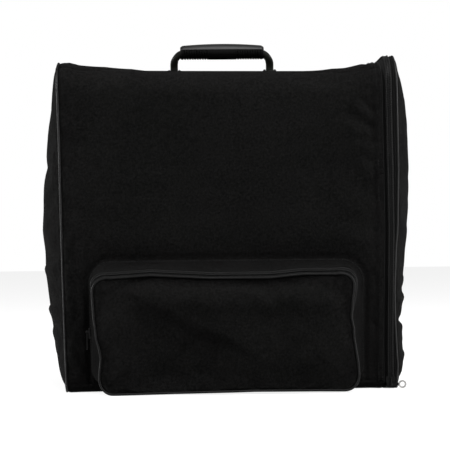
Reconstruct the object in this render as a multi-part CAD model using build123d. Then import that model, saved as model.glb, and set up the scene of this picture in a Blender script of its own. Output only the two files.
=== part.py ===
from build123d import *
import os

# Soft case for a piano accordion: a padded fabric box with a zipped door at one end, a zipped pocket on the
# front, a moulded carrying handle on top and two shoulder straps on the back.
# Millimetres. +Z is up, +X is the end with the zipped door, -Y is the front. The origin is the middle of the
# flat bottom.

# ---- Driving dimensions --------------------------------------------------------------------------------
# Overall
piping_half_width = 228.2    # from the middle to the piping round either end
case_depth = 230.0
top_height = 438.0           # at the middle, where the top sags
end_rise = 14.5              # the top stands this much higher at both ends
rise_length = 110.0
top_edge_radius = 35.0
bottom_edge_radius = 12.0
smallest_round = 1.0
end_bulge = 26.0             # each end panel swells this far past its piping
# Rings of the swollen end: share of the bulge, step in from the sides, step in from top and bottom
end_crown = [(0.0, 0.0, 0.0), (0.42, 11.0, 40.0), (0.78, 28.0, 88.0), (1.0, 52.0, 140.0)]

# Wall, from the outside in
fabric = 1.2
padding = 10.0
lining = 0.8
layer_gap = 0.15
board = 3.0                  # stiffening board inside the bottom padding
board_margin = 14.0

# Seams
piping_radius = 1.6
piping_proud = 1.0
seam_gap = 0.1
top_seam_drop = 1.2          # the seam of front and top panel lies this far below the flat of the top

# Main zip
door_band = 9.1              # from the middle of the zip to the door's piping
case_tape = 8.6
zip_gap = 0.4
coil_width = 9.6
coil_height = 2.6
zip_end_height = 4.5
hinge_setback = 0.3

# Sliders and pulls
slider_gap = 0.3
slider_width = 13.0
slider_length = 16.0
slider_plate = 1.4
slider_bar_radius = 0.9
slider_foot = 2.0
slider_foot_width = 3.0
slider_low = 1.5
slider_waist = 0.72          # width of the slider's foot, as a share of its head
slider_shoulder = 0.6        # height of its shoulder, as a share of its length
pull_wall = 1.0
pull_play = 0.1
pull_thickness = 1.4
pull_height = 4.0
pull_ring_reach = 15.3
pull_ring_radius = 5.4
pull_ring_hole = 3.2

# Front pocket
pocket_depth = 48.0
pocket_left = -192.2
pocket_right = 180.8
pocket_base_low = 12.5
pocket_base_high = 177.5
pocket_base_radius = 30.0
mouth_left = -185.7
mouth_right = 162.8
mouth_low = 2.0
mouth_high = 161.5
mouth_top_radius = 26.0
mouth_bottom_radius = 20.0
mouth_band = 11.0            # straight band of zip tape behind the face
fold_height = 94.0           # the face folds forward above this line
fold_gap = 0.3
pocket_coil_width = 5.2
pocket_coil_height = 2.0
pocket_slider_width = 10.0
pocket_slider_length = 14.0
pocket_slider_drop = 4.0     # the parked slider's top is this far below the fold
pocket_pull_length = 24.0
pocket_pull_width = 6.0
pocket_pull_slot = 2.6
pocket_pull_corner = 2.7

# Handle
handle_centre = -3.3
handle_span = 136.0          # between the centres of the legs
handle_rise = 30.3           # from the pivot to the middle of the grip
pivot_lift = 5.2             # pivot above the top panel
leg_thickness = 11.0
leg_width = 22.0
leg_corner = 4.6
taper_low = 7.0              # the legs widen from the foot's width here, above the pivot,
taper_high = 22.0            # to their full width here
handle_bend = 17.0
pivot_radius = 1.6
pivot_play = 0.08
pivot_head = 1.2
ear = 2.0
ear_gap = 0.4
bracket_plate = 1.6
bracket_length = 34.0
rivet_radius = 2.2
backing_plate = 2.0
grip_length = 119.0
grip_width = 30.0
grip_thickness = 18.0
grip_end_round = 3.0
grip_smooth = 36.0           # smooth middle part of the grip
rib_pitch = 3.6
rib_groove = 1.5
rib_depth = 1.1

# Shoulder straps
strap_width = 62.0
strap_thickness = 11.0
strap_end_radius = 18.6
strap_edge_radius = 4.4
strap_drop = 50.0            # the straps start this far below the top of the case
strap_length = 238.0
patch_width = 252.0
patch_margin = 10.0          # the patch reaches this far past the straps
patch_height = 40.0
webbing_width = 25.0
webbing = 1.5
lock_width = 37.0
lock_height = 27.0
lock_thickness = 4.0
lock_bar = 4.5
tab_height = 30.0
tab_low = 14.0
stack_gap = 0.2

# ---- Derived places ------------------------------------------------------------------------------------
half_depth = case_depth / 2
end_height = top_height + end_rise
tube_left = -piping_half_width + piping_radius + seam_gap
door_edge = piping_half_width - piping_radius - seam_gap
zip_middle = door_edge - door_band
tube_right = zip_middle - zip_gap / 2 - case_tape - seam_gap
dome_step = piping_radius + seam_gap
foam_inset = fabric + layer_gap
lining_inset = foam_inset + padding + layer_gap
cavity_inset = lining_inset + lining
piping_inset = piping_radius - piping_proud
piping_low = piping_radius + layer_gap
hinge_x = door_edge - hinge_setback
pivot_z = top_height + pivot_lift
handle_height = pivot_z + handle_rise
face_plane = half_depth + pocket_depth
mouth_start = face_plane - mouth_band - 2 * piping_radius
band_front = mouth_start + mouth_band
strap_top = top_height - strap_drop
strap_bottom = strap_top - strap_length
strap_spacing = patch_width - strap_width - 2 * patch_margin
far = 4 * (piping_half_width + case_depth + top_height)    # beyond everything, for cutting boxes


# ---- Helpers -------------------------------------------------------------------------------------------
def box_between(x0, x1, y0, y1, z0, z1):
    return Pos((x0 + x1) / 2, (y0 + y1) / 2, (z0 + z1) / 2) * Box(x1 - x0, y1 - y0, z1 - z0)


def above(z):
    return box_between(-far, far, -far, far, z, far)


def below(z):
    return box_between(-far, far, -far, far, -far, z)


def round_radius(radius, inset):
    """The radius of a rounded edge moved in by inset, never sharper than smallest_round."""
    return max(radius - inset, smallest_round)


def cylinder_along(axis, radius, start, length):
    """A cylinder from the point start along the unit direction axis."""
    return extrude(Plane(origin=start, z_dir=axis) * Circle(radius), amount=length)


# ---- The case's wall -----------------------------------------------------------------------------------
def wall_block(inset):
    """The case between its ends as a full block, with every long face moved in by inset."""
    low, middle, high = inset, top_height - inset, end_height - inset
    side = half_depth - inset
    left_rise, right_rise = tube_left + rise_length, tube_right - rise_length
    profile = make_face([
        Line((tube_left, high), (tube_left, low)),
        Line((tube_left, low), (tube_right, low)),
        Line((tube_right, low), (tube_right, high)),
        TangentArc((right_rise, middle), (tube_right, high), tangent=(1, 0)),
        Line((right_rise, middle), (left_rise, middle)),
        TangentArc((left_rise, middle), (tube_left, high), tangent=(-1, 0)),
    ])
    block = extrude(Plane.XZ * profile, amount=side, both=True)
    long_edges = [e for e in block.edges() if abs(abs(e.center().Y) - side) < layer_gap / 2]
    top_edges = [e for e in long_edges if e.center().Z > middle - layer_gap]
    block = fillet(top_edges, round_radius(top_edge_radius, inset))
    bottom_edges = [e for e in block.edges().filter_by(Axis.X)
                    if e.center().Z < low + layer_gap and abs(e.center().Y) > side - layer_gap]
    return fillet(bottom_edges, round_radius(bottom_edge_radius, inset))


def wall_layer(outer, inner):
    return wall_block(outer) - wall_block(inner)


def outer_panels():
    """The four sewn panels of the case's outside."""
    shell = wall_layer(0, fabric)
    seam_y = half_depth - top_edge_radius + (2 * top_edge_radius * top_seam_drop) ** 0.5
    upper = shell & above(bottom_edge_radius)
    return {
        "bottom_panel": shell & below(bottom_edge_radius),
        "front_panel": upper & box_between(-far, far, -far, -seam_y, 0, far),
        "top_panel": upper & box_between(-far, far, -seam_y, seam_y, top_height / 2, far),
        "back_panel": upper & box_between(-far, far, seam_y, far, 0, far),
    }


def wall_padding():
    """Foam behind each panel, with the board let into the bottom one."""
    foam = wall_layer(foam_inset, foam_inset + padding)
    floor_top = foam_inset + padding
    shoulder = top_height - top_edge_radius
    board_top = floor_top - layer_gap
    board_side = half_depth - board_margin
    board_box = box_between(tube_left + board_margin, tube_right - board_margin, -board_side, board_side,
                            board_top - board, board_top)
    recess = box_between(tube_left + board_margin - layer_gap, tube_right - board_margin + layer_gap,
                         -board_side - layer_gap, board_side + layer_gap,
                         board_top - board - layer_gap, far)
    sides = foam & above(floor_top) & below(shoulder)
    return {
        "bottom_foam": (foam & below(floor_top)) - recess,
        "base_board": board_box,
        "front_foam": sides & box_between(-far, far, -far, 0, 0, far),
        "back_foam": sides & box_between(-far, far, 0, far, 0, far),
        "top_foam": foam & above(shoulder),
        "wall_lining": wall_layer(lining_inset, cavity_inset),
    }


# ---- The two ends --------------------------------------------------------------------------------------
def outline_across(x, side, low, high, top_round, bottom_round):
    """A closed outline across the case at x, rounded at its upper and lower corners."""
    corners = [(-side, low), (side, low), (side, high), (-side, high)]
    radii = [bottom_round, bottom_round, top_round, top_round]
    return Plane.YZ.offset(x) * FilletPolyline(*corners, radius=radii, close=True)


def end_outline(x, inset, low):
    """The end's outline at x, inset at its sides and top, with its lowest line at low."""
    return outline_across(x, half_depth - inset, low, end_height - inset,
                          round_radius(top_edge_radius, inset), round_radius(bottom_edge_radius, low))


def end_plate(x0, x1, inset, low):
    return extrude(make_face(end_outline(x0, inset, low)), amount=x1 - x0)


def end_dome(start, direction, layer):
    """The swollen end as a full solid from the plane x = start, layer inside its outer skin."""
    sections = []
    for share, side_step, height_step in end_crown:
        skin = layer * (1 - share)
        x = start + direction * (end_bulge - layer) * share
        side = half_depth - piping_inset - side_step - skin
        low = piping_low + height_step + skin
        high = end_height - piping_inset - height_step - skin
        round_top = top_edge_radius + side_step / 4
        round_bottom = bottom_edge_radius - piping_low + side_step / 2
        sections.append(make_face(outline_across(x, side, low, high, round_top, round_bottom)))
    return loft(sections)


def end_piping(x):
    path = end_outline(x, piping_inset, piping_low)
    start = Plane(origin=path @ 0, z_dir=path % 0)
    return sweep(start * Circle(piping_radius), path=path)


def end_parts(x, direction):
    """Skin and padding of one end; the padding reaches back between the piping to the end's lining."""
    dome_x = x + direction * dome_step
    back_x = x - direction * (dome_step - layer_gap)
    inside = 2 * layer_gap
    skin = end_dome(dome_x, direction, 0) - end_dome(dome_x, direction, fabric)
    flange_inset = piping_inset + piping_radius + inside
    flange = end_plate(min(dome_x, back_x), max(dome_x, back_x), flange_inset, piping_low + piping_radius + inside)
    filling = end_dome(dome_x, direction, fabric + inside) + flange
    return skin, filling


def left_end():
    skin, filling = end_parts(-piping_half_width, -1)
    lining_x = tube_left + layer_gap
    return {
        "left_end_panel": skin,
        "left_end_foam": filling,
        "left_end_lining": end_plate(lining_x, lining_x + lining, cavity_inset + lining,
                                     cavity_inset + layer_gap),
        "left_piping": end_piping(-piping_half_width),
    }


# ---- The main zip --------------------------------------------------------------------------------------
def band(x0, x1, outer, inner):
    """A band of the end outline between x0 and x1, from inset outer to inset inner."""
    return end_plate(x0, x1, outer, outer) - end_plate(x0, x1, inner, inner)


def main_zip():
    """Tapes and coils up the front, over the top and down the back, and the strip that the door folds on."""
    left_half, right_half = zip_middle - zip_gap / 2, zip_middle + zip_gap / 2
    open_bottom = above(zip_end_height)
    coil_inner = -layer_gap
    coil_outer = coil_inner - coil_height
    return {
        "zip_tape_case": band(tube_right + seam_gap, left_half, 0, fabric) & open_bottom,
        "zip_coil_case": band(zip_middle - coil_width / 2, left_half, coil_outer, coil_inner) & open_bottom,
        "zip_tape_door": band(right_half, door_edge, 0, fabric) & open_bottom,
        "zip_coil_door": band(right_half, zip_middle + coil_width / 2, coil_outer, coil_inner) & open_bottom,
        "hinge_strip": band(tube_right + seam_gap, hinge_x - hinge_setback - layer_gap, 0, fabric)
        & below(zip_end_height - 2 * layer_gap),
    }


def door():
    skin, filling = end_parts(piping_half_width, 1)
    lining_end = door_edge - layer_gap
    return {
        "door_panel": skin,
        "door_foam": filling,
        "door_lining": end_plate(lining_end - lining, lining_end, fabric + 2 * layer_gap,
                                 fabric + 2 * layer_gap),
        "door_piping": end_piping(piping_half_width),
    }


def main_slider():
    """Slider parked at the front foot of the zip, with a round bar that its ring pull swings on."""
    back = half_depth + layer_gap + coil_height + slider_gap
    front = back + slider_plate
    half = slider_width / 2
    waist = half * slider_waist
    low, high = slider_low, slider_low + slider_length
    shoulder = low + slider_length * slider_shoulder
    outline = FilletPolyline((-waist, low), (waist, low), (half, shoulder), (half, high), (-half, high),
                             (-half, shoulder), radius=slider_plate, close=True)
    plate = Pos(zip_middle, 0, 0) * extrude(Plane.XZ.offset(back) * make_face(outline), amount=slider_plate)
    rail = box_between(zip_middle - half, zip_middle - coil_width / 2 - slider_gap,
                       -back - slider_plate / 2, -half_depth - slider_gap,
                       shoulder + slider_plate, high - slider_plate)
    bar_y = -(front + pull_eye_radius() + slider_gap)
    foot_front = bar_y - slider_bar_radius
    foot_low = low + slider_foot / 2
    foot_high = high - slider_foot / 2 - slider_foot
    feet = [box_between(zip_middle - slider_foot_width / 2, zip_middle + slider_foot_width / 2, foot_front,
                        -front + slider_plate / 2, z, z + slider_foot) for z in (foot_low, foot_high)]
    bar = cylinder_along((0, 0, 1), slider_bar_radius, (zip_middle, bar_y, foot_low + slider_foot / 2),
                         foot_high - foot_low)
    body = plate + rail + feet[0] + feet[1] + bar
    eye_low = foot_low + slider_foot + slider_gap
    return {"main_slider": body, "main_pull": ring_pull(zip_middle, bar_y, eye_low)}


def pull_eye_radius():
    return slider_bar_radius + pull_play + pull_wall


def ring_pull(x, y, low):
    """A flat pull with an eye round the slider's bar at one end and a ring at the other."""
    middle = low + pull_height / 2
    eye = cylinder_along((0, 0, 1), pull_eye_radius(), (x, y, low), pull_height)
    arm = box_between(x, x + pull_ring_reach - pull_ring_hole, y - pull_thickness / 2, y + pull_thickness / 2,
                      low, low + pull_height)
    ring = cylinder_along((0, 1, 0), pull_ring_radius, (x + pull_ring_reach, y - pull_thickness / 2, middle),
                          pull_thickness)
    ring_hole = cylinder_along((0, 1, 0), pull_ring_hole, (x + pull_ring_reach, y - pull_thickness, middle),
                               2 * pull_thickness)
    eye_hole = cylinder_along((0, 0, 1), slider_bar_radius + pull_play, (x, y, low - pull_height),
                              3 * pull_height)
    return eye + arm + ring - ring_hole - eye_hole


# ---- The front pocket ----------------------------------------------------------------------------------
def base_face(inset):
    """The pocket's outline on the front panel."""
    left, right = pocket_left + inset, pocket_right - inset
    low, high = pocket_base_low + inset, pocket_base_high - inset
    top_round = round_radius(pocket_base_radius, inset)
    bottom_round = round_radius(mouth_bottom_radius, inset)
    outline = FilletPolyline((left, low), (right, low), (right, high), (left, high),
                             radius=[bottom_round, bottom_round, top_round, top_round], close=True)
    return Plane.XZ.offset(half_depth) * make_face(outline)


def mouth_outline(depth, inset):
    """The pocket's outline at its mouth, depth in front of the case's middle."""
    left, right = mouth_left + inset, mouth_right - inset
    low, high = mouth_low + inset, mouth_high - inset
    top_round = round_radius(mouth_top_radius, inset)
    bottom_round = round_radius(mouth_bottom_radius, inset)
    return Plane.XZ.offset(depth) * FilletPolyline(
        (left, low), (right, low), (right, high), (left, high),
        radius=[bottom_round, bottom_round, top_round, top_round], close=True)


def mouth_ring(start, end, outer, inner):
    outside = extrude(make_face(mouth_outline(start, outer)), amount=end - start)
    return outside - extrude(make_face(mouth_outline(start, inner)), amount=end - start)


def gusset():
    outside = loft([base_face(0), make_face(mouth_outline(mouth_start, 0))])
    inside = loft([base_face(fabric), make_face(mouth_outline(mouth_start, fabric))])
    lower_band = mouth_ring(mouth_start, band_front, 0, fabric) & below(fold_height - fold_gap)
    return (outside - inside) + lower_band


def pocket_piping():
    path = mouth_outline(band_front + piping_radius + seam_gap, piping_inset)
    start = Plane(origin=path @ 0, z_dir=path % 0)
    return sweep(start * Circle(piping_radius), path=path)


def pocket():
    """The fixed part of the pocket and the flap of its face, divided at the fold line."""
    middle = (mouth_start + band_front) / 2
    left_half, right_half = middle - zip_gap / 2, middle + zip_gap / 2
    coil_inner, coil_outer = -layer_gap, -layer_gap - pocket_coil_height
    upper, lower = above(fold_height), below(fold_height - fold_gap)
    face_inset = piping_inset + piping_radius + layer_gap
    face_back = band_front + piping_radius + seam_gap - fabric / 2
    face = extrude(make_face(mouth_outline(face_back, face_inset)), amount=fabric)
    piping = pocket_piping()
    return {
        "pocket_gusset": gusset(),
        "pocket_lower_face": face & lower,
        "pocket_lower_piping": piping & lower,
        "pocket_zip_tape": mouth_ring(mouth_start + seam_gap, left_half, 0, fabric) & upper,
        "pocket_zip_coil": mouth_ring(middle - pocket_coil_width / 2, left_half, coil_outer, coil_inner)
        & upper,
        "flap_panel": face & upper,
        "flap_piping": piping & upper,
        "flap_zip_tape": mouth_ring(right_half, band_front, 0, fabric) & upper,
        "flap_zip_coil": mouth_ring(right_half, middle + pocket_coil_width / 2, coil_outer, coil_inner)
        & upper,
    }


def pocket_slider():
    """Slider at the left foot of the pocket's zip. Its pull hangs from a cross bar."""
    middle = -(mouth_start + band_front) / 2
    back = mouth_left - layer_gap - pocket_coil_height - slider_gap
    front = back - slider_plate
    half = pocket_slider_width / 2
    high = fold_height - pocket_slider_drop
    low = high - pocket_slider_length
    plate = fillet(box_between(front, back, middle - half, middle + half, low, high).edges().filter_by(Axis.X),
                   slider_plate)
    rail = box_between(back - slider_plate / 2, mouth_left - slider_gap,
                       middle + pocket_coil_width / 2 + slider_gap, middle + half,
                       low + slider_plate, high - slider_plate)
    bar_x = front - pull_eye_radius() - slider_gap
    bar_z = high - pocket_slider_length / 3
    ear_out = half - slider_plate
    ears = [box_between(bar_x - slider_bar_radius, front + slider_plate / 2,
                        middle + side * ear_out - slider_plate / 2, middle + side * ear_out + slider_plate / 2,
                        bar_z - slider_bar_radius, bar_z + slider_bar_radius) for side in (-1, 1)]
    bar = cylinder_along((0, 1, 0), slider_bar_radius, (bar_x, middle - ear_out, bar_z), 2 * ear_out)
    return {"pocket_slider": plate + rail + ears[0] + ears[1] + bar,
            "pocket_pull": hanging_pull(bar_x, middle, bar_z)}


def hanging_pull(x, y, z):
    """A long link that hangs from a cross bar, with a slot down its middle."""
    eye_width = pocket_slider_width - 3 * slider_plate - 2 * slider_gap
    eye = cylinder_along((0, 1, 0), pull_eye_radius(), (x, y - eye_width / 2, z), eye_width)
    half = pocket_pull_width / 2
    link = Plane.YZ * Pos(y, z - pocket_pull_length / 2) * RectangleRounded(
        pocket_pull_width, pocket_pull_length, pocket_pull_corner)
    slot = Plane.YZ * Pos(y, z - pocket_pull_length / 2 - pull_eye_radius()) * SlotOverall(
        pocket_pull_length - 2 * pull_eye_radius() - half, pocket_pull_slot, rotation=90)
    strands = Pos(x - pull_thickness / 2, 0, 0) * extrude(link - slot, amount=pull_thickness)
    room = box_between(x - pocket_pull_length, x + pocket_pull_length, y - pocket_pull_length,
                       y + pocket_pull_length, z, z + pocket_pull_length)
    hole = cylinder_along((0, 1, 0), slider_bar_radius + pull_play, (x, y - pocket_pull_width, z),
                          2 * pocket_pull_width)
    return eye + (strands - room) - hole


# ---- The handle ----------------------------------------------------------------------------------------
def handle_path():
    half = handle_span / 2
    return FilletPolyline((-half, pivot_z), (-half, handle_height), (half, handle_height), (half, pivot_z),
                          radius=handle_bend)


def bow_bar(grow):
    """The bar of the bow along its whole path, thicker all round by grow."""
    path = Plane.XZ * handle_path()
    section = Plane(origin=path @ 0, x_dir=(1, 0, 0), z_dir=(0, 0, 1)) * RectangleRounded(
        leg_thickness + 2 * grow, leg_width + 2 * grow, leg_corner + grow)
    return sweep(section, path=path)


def handle_bow():
    """The handle's core: two legs with an eye at each foot and the bar that the grip is moulded round."""
    bow = bow_bar(0) - leg_taper(1) - leg_taper(-1)
    for side in (-1, 1):
        start = (side * handle_span / 2 - leg_thickness / 2, 0, pivot_z)
        bow += cylinder_along((1, 0, 0), foot_radius(), start, leg_thickness)
        bow -= cylinder_along((1, 0, 0), pivot_radius + pivot_play, (start[0] - ear, 0, pivot_z),
                              leg_thickness + 2 * ear)
    return Pos(handle_centre, 0, 0) * bow


def leg_taper(side):
    """What is cut from one side of both legs, so that they narrow to the foot and clear the brackets."""
    outline = Polyline((side * foot_radius(), pivot_z - leg_width), (side * foot_radius(), pivot_z + taper_low),
                       (side * leg_width / 2, pivot_z + taper_high), (side * leg_width, pivot_z + taper_high),
                       (side * leg_width, pivot_z - leg_width), close=True)
    return extrude(Plane.YZ * make_face(outline), amount=handle_span, both=True)


def foot_radius():
    return pivot_lift - bracket_plate - ear_gap


def grip_section(grow):
    return RectangleRounded(grip_thickness + 2 * grow, grip_width + 2 * grow,
                            grip_thickness / 2 + grow - layer_gap)


def handle_grip():
    """Moulded grip with a smooth middle and ribs out to both ends."""
    across = Plane(origin=(-grip_length / 2, 0, handle_height), x_dir=(0, 0, 1), z_dir=(1, 0, 0))
    grip = extrude(across * grip_section(0), amount=grip_length)
    ends = grip.edges().group_by(Axis.X)
    grip = fillet(ends[0] + ends[-1], grip_end_round)
    ring = extrude(across * (grip_section(rib_depth) - grip_section(-rib_depth)), amount=rib_groove)
    count = int((grip_length - grip_smooth) / 2 / rib_pitch)
    grooves = [Pos(start + n * rib_pitch, 0, 0) * ring
               for start in (rib_pitch / 2, grip_length - rib_pitch * (count - 0.5) - rib_groove)
               for n in range(count)]
    for groove in grooves:
        grip -= groove
    return Pos(handle_centre, 0, 0) * (grip - bow_bar(layer_gap))


def handle_mounts():
    """Brackets, pins and rivets on the top panel, and the plate under it that takes the load."""
    half_leg = leg_thickness / 2
    inner, outer = half_leg + ear_gap, half_leg + ear_gap + ear
    floor = top_height
    brackets, pins, rivets = [], [], []
    for side in (-1, 1):
        x = handle_centre + side * handle_span / 2
        base = box_between(x - outer, x + outer, -bracket_length / 2, bracket_length / 2, floor,
                           floor + bracket_plate)
        for ear_side in (-1, 1):
            near = x + ear_side * (inner + ear / 2)
            cheek = box_between(near - ear / 2, near + ear / 2, -foot_radius(), foot_radius(), floor, pivot_z)
            base += cheek + cylinder_along((1, 0, 0), foot_radius(), (near - ear / 2, 0, pivot_z), ear)
        reach = outer + pivot_head
        base -= cylinder_along((1, 0, 0), pivot_radius, (x - 2 * reach, 0, pivot_z), 4 * reach)
        pin = cylinder_along((1, 0, 0), pivot_radius, (x - reach, 0, pivot_z), 2 * reach)
        for end in (x - reach, x + outer):
            pin += cylinder_along((1, 0, 0), pivot_radius + pivot_head, (end, 0, pivot_z), pivot_head)
        hole_y = bracket_length / 2 - 2 * rivet_radius
        for y in (-hole_y, hole_y):
            base -= cylinder_along((0, 0, 1), rivet_radius, (x, y, floor - bracket_plate), 3 * bracket_plate)
            rivets.append(rivet(x, y))
        brackets.append(base)
        pins.append(pin)
    return {"handle_brackets": Compound(children=brackets), "handle_pins": Compound(children=pins),
            "handle_rivets": Compound(children=rivets)}


def rivet(x, y):
    """A rivet through bracket, top panel and backing plate."""
    low = plate_top() - backing_plate
    shank = cylinder_along((0, 0, 1), rivet_radius, (x, y, low - pivot_head),
                           top_height + bracket_plate - low + pivot_head)
    head = cylinder_along((0, 0, 1), rivet_radius + pivot_head, (x, y, top_height + bracket_plate), pivot_head)
    foot = cylinder_along((0, 0, 1), rivet_radius + pivot_head, (x, y, low - pivot_head), pivot_head)
    return shank + head + foot


def plate_top():
    """The backing plate lies under the top panel, let into the foam."""
    return top_height - foam_inset


def handle_backing():
    half_length = handle_span / 2 + bracket_length / 2
    low = plate_top() - backing_plate
    return box_between(handle_centre - half_length, handle_centre + half_length, -bracket_length / 2,
                       bracket_length / 2, low, plate_top())


# ---- The shoulder straps -------------------------------------------------------------------------------
def strap(side):
    """One padded strap flat against the back, its webbing, its adjuster and the tab at the bottom seam."""
    x = side * strap_spacing / 2
    start = half_depth + stack_gap
    pad_start = start + webbing + stack_gap
    half = strap_width / 2
    pad = box_between(x - half, x + half, pad_start, pad_start + strap_thickness, strap_bottom, strap_top)
    pad = fillet(pad.edges().filter_by(Axis.Y).group_by(Axis.Z)[0], strap_end_radius)
    pad = fillet(pad.faces().sort_by(Axis.Y)[-1].edges(), strap_edge_radius)
    lock_high = strap_bottom - stack_gap
    lock_low = lock_high - lock_height
    lock = box_between(x - lock_width / 2, x + lock_width / 2, pad_start, pad_start + lock_thickness,
                       lock_low, lock_high)
    slot_half = lock_width / 2 - lock_bar
    slot_height = (lock_height - 3 * lock_bar) / 2
    for slot_low in (lock_low + lock_bar, lock_low + 2 * lock_bar + slot_height):
        lock -= box_between(x - slot_half, x + slot_half, pad_start - lock_thickness,
                            pad_start + 2 * lock_thickness, slot_low, slot_low + slot_height)
    web = box_between(x - webbing_width / 2, x + webbing_width / 2, start, start + webbing,
                      tab_low + tab_height + stack_gap, strap_bottom + lock_height)
    tab = Plane.XZ.offset(-start) * Pos(x, tab_low) * make_face(Polyline(
        (-webbing_width / 2, tab_height), (webbing_width / 2, tab_height), (webbing_width, 0),
        (-webbing_width, 0), close=True))
    name = "left" if side < 0 else "right"
    return {
        f"strap_pad_{name}": pad,
        f"strap_adjuster_{name}": lock,
        f"strap_webbing_{name}": web,
        f"strap_tab_{name}": extrude(tab, amount=-webbing),
    }


def strap_patch():
    start = half_depth + stack_gap
    pad_start = start + webbing + stack_gap
    return box_between(-patch_width / 2, patch_width / 2, start, pad_start - stack_gap,
                       strap_top - patch_height, strap_top + stack_gap)


# ---- Assembly ------------------------------------------------------------------------------------------
def all_parts():
    parts = {}
    parts.update(outer_panels())
    parts.update(wall_padding())
    parts.update(left_end())
    parts.update(main_zip())
    parts.update(door())
    parts.update(main_slider())
    parts.update(pocket())
    parts.update(pocket_slider())
    parts["handle_bow"] = handle_bow()
    parts["handle_grip"] = handle_grip()
    parts.update(handle_mounts())
    parts["handle_backing_plate"] = handle_backing()
    parts["strap_patch"] = strap_patch()
    for side in (-1, 1):
        parts.update(strap(side))
    for name in ("top_panel", "top_foam", "handle_backing_plate"):
        parts[name] -= parts["handle_rivets"]
    parts["top_foam"] -= parts["handle_backing_plate"]
    return parts


os.makedirs("parts", exist_ok=True)
for name, shape in all_parts().items():
    export_step(shape, f"parts/{name}.step")
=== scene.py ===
import math

import bmesh
import bpy
import numpy as np
from mathutils import Matrix, Vector


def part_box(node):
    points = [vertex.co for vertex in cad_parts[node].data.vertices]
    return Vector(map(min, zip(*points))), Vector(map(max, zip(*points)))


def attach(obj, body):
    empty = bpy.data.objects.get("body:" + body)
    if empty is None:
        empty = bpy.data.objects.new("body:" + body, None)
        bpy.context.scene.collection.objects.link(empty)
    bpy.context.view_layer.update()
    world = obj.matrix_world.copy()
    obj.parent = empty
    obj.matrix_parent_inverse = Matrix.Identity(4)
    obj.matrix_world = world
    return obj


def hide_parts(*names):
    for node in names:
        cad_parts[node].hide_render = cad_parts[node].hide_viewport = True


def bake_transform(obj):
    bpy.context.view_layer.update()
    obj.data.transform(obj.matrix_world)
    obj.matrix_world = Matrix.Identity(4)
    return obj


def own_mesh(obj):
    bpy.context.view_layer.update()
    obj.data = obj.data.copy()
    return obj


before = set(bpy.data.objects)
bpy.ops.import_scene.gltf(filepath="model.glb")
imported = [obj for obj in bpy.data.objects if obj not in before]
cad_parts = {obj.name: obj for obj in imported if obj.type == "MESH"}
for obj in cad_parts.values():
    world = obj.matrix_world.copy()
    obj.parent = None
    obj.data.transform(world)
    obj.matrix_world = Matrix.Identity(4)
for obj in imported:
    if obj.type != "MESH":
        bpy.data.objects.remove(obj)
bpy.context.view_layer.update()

# Soft accordion case dressed over its frame: padded panels of black woven polyester, piping, a heavy zip round
# the right end, a zipped front pocket, a moulded handle and shoulder straps. Metres; front is -Y.
mm = 0.001

# ---- Sizes from the frame ------------------------------------------------------------------------------
front_low, front_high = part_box("front_panel")
piping_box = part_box("left_piping")
gusset_low, gusset_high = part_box("pocket_gusset")
pocket_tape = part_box("pocket_zip_tape")
flap_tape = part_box("flap_zip_tape")
flap_piping_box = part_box("flap_piping")
case_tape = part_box("zip_tape_case")
door_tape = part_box("zip_tape_door")
case_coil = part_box("zip_coil_case")

half_depth = -front_low.y
tube_left, tube_right = front_low.x, front_high.x
bottom_radius = front_low.z
top_radius = 35 * mm
top_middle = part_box("handle_brackets")[0].z
top_end = door_tape[1].z
rise_length = 110 * mm
wall = 11.2 * mm                 # fabric and padding together
cloth = 1.2 * mm
zip_middle = (case_tape[1].x + door_tape[0].x) / 2
door_edge = door_tape[1].x
zip_foot = case_tape[0].z
coil_half_width = zip_middle - case_coil[0].x
coil_proud = -half_depth - case_coil[0].y
piping_x = -(piping_box[0].x + piping_box[1].x) / 2
piping_radius = (piping_box[1].x - piping_box[0].x) / 2
piping_half = -piping_box[0].y - piping_radius
piping_low = piping_box[0].z + piping_radius
piping_high = piping_box[1].z - piping_radius
mouth_left, mouth_right = pocket_tape[0].x, pocket_tape[1].x
mouth_low, mouth_high = gusset_low.z, pocket_tape[1].z
mouth_back, mouth_front = -pocket_tape[1].y, -flap_tape[0].y
pocket_piping_y = (flap_piping_box[0].y + flap_piping_box[1].y) / 2
fold_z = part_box("flap_panel")[0].z
pocket_base_low = 12.5 * mm
pocket_base_round = 30 * mm
mouth_top_round, mouth_bottom_round = 26 * mm, 20 * mm
piping_sides = 10


# ---- Small helpers -------------------------------------------------------------------------------------
def smooth(value, start, end):
    """0 before start, 1 after end, and a smooth turn between them."""
    t = np.clip((value - start) / (end - start), 0, 1)
    return t * t * (3 - 2 * t)


def near(distance, width):
    """1 on a line and fading to 0 over about a width on both sides of it."""
    return np.exp(-(distance / width) ** 2)


wave_count = 16


def waves(points, length, seed):
    """A smooth random field of about -1 to 1 whose features measure about length."""
    rng = np.random.default_rng(seed)
    total = np.zeros(points.shape[:-1])
    for _ in range(wave_count):
        direction = rng.normal(size=3)
        direction *= 2 * math.pi / (length * rng.uniform(0.7, 1.7) * np.linalg.norm(direction))
        total += np.sin(points @ direction + rng.uniform(0, 2 * math.pi))
    return total / math.sqrt(wave_count)


def crease(x, z, start, end, width, depth):
    """A fold from start to end across the plane x, z: a valley of that depth with a soft ridge beside it."""
    (x0, z0), (x1, z1) = start, end
    length = math.hypot(x1 - x0, z1 - z0)
    along = ((x - x0) * (x1 - x0) + (z - z0) * (z1 - z0)) / length
    across = ((x - x0) * (z1 - z0) - (z - z0) * (x1 - x0)) / length
    fade = smooth(along, -width, width) * (1 - smooth(along, length - width, length + width))
    return fade * depth * (0.7 * near(across - 1.9 * width, 1.3 * width) - near(across, width))


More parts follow.
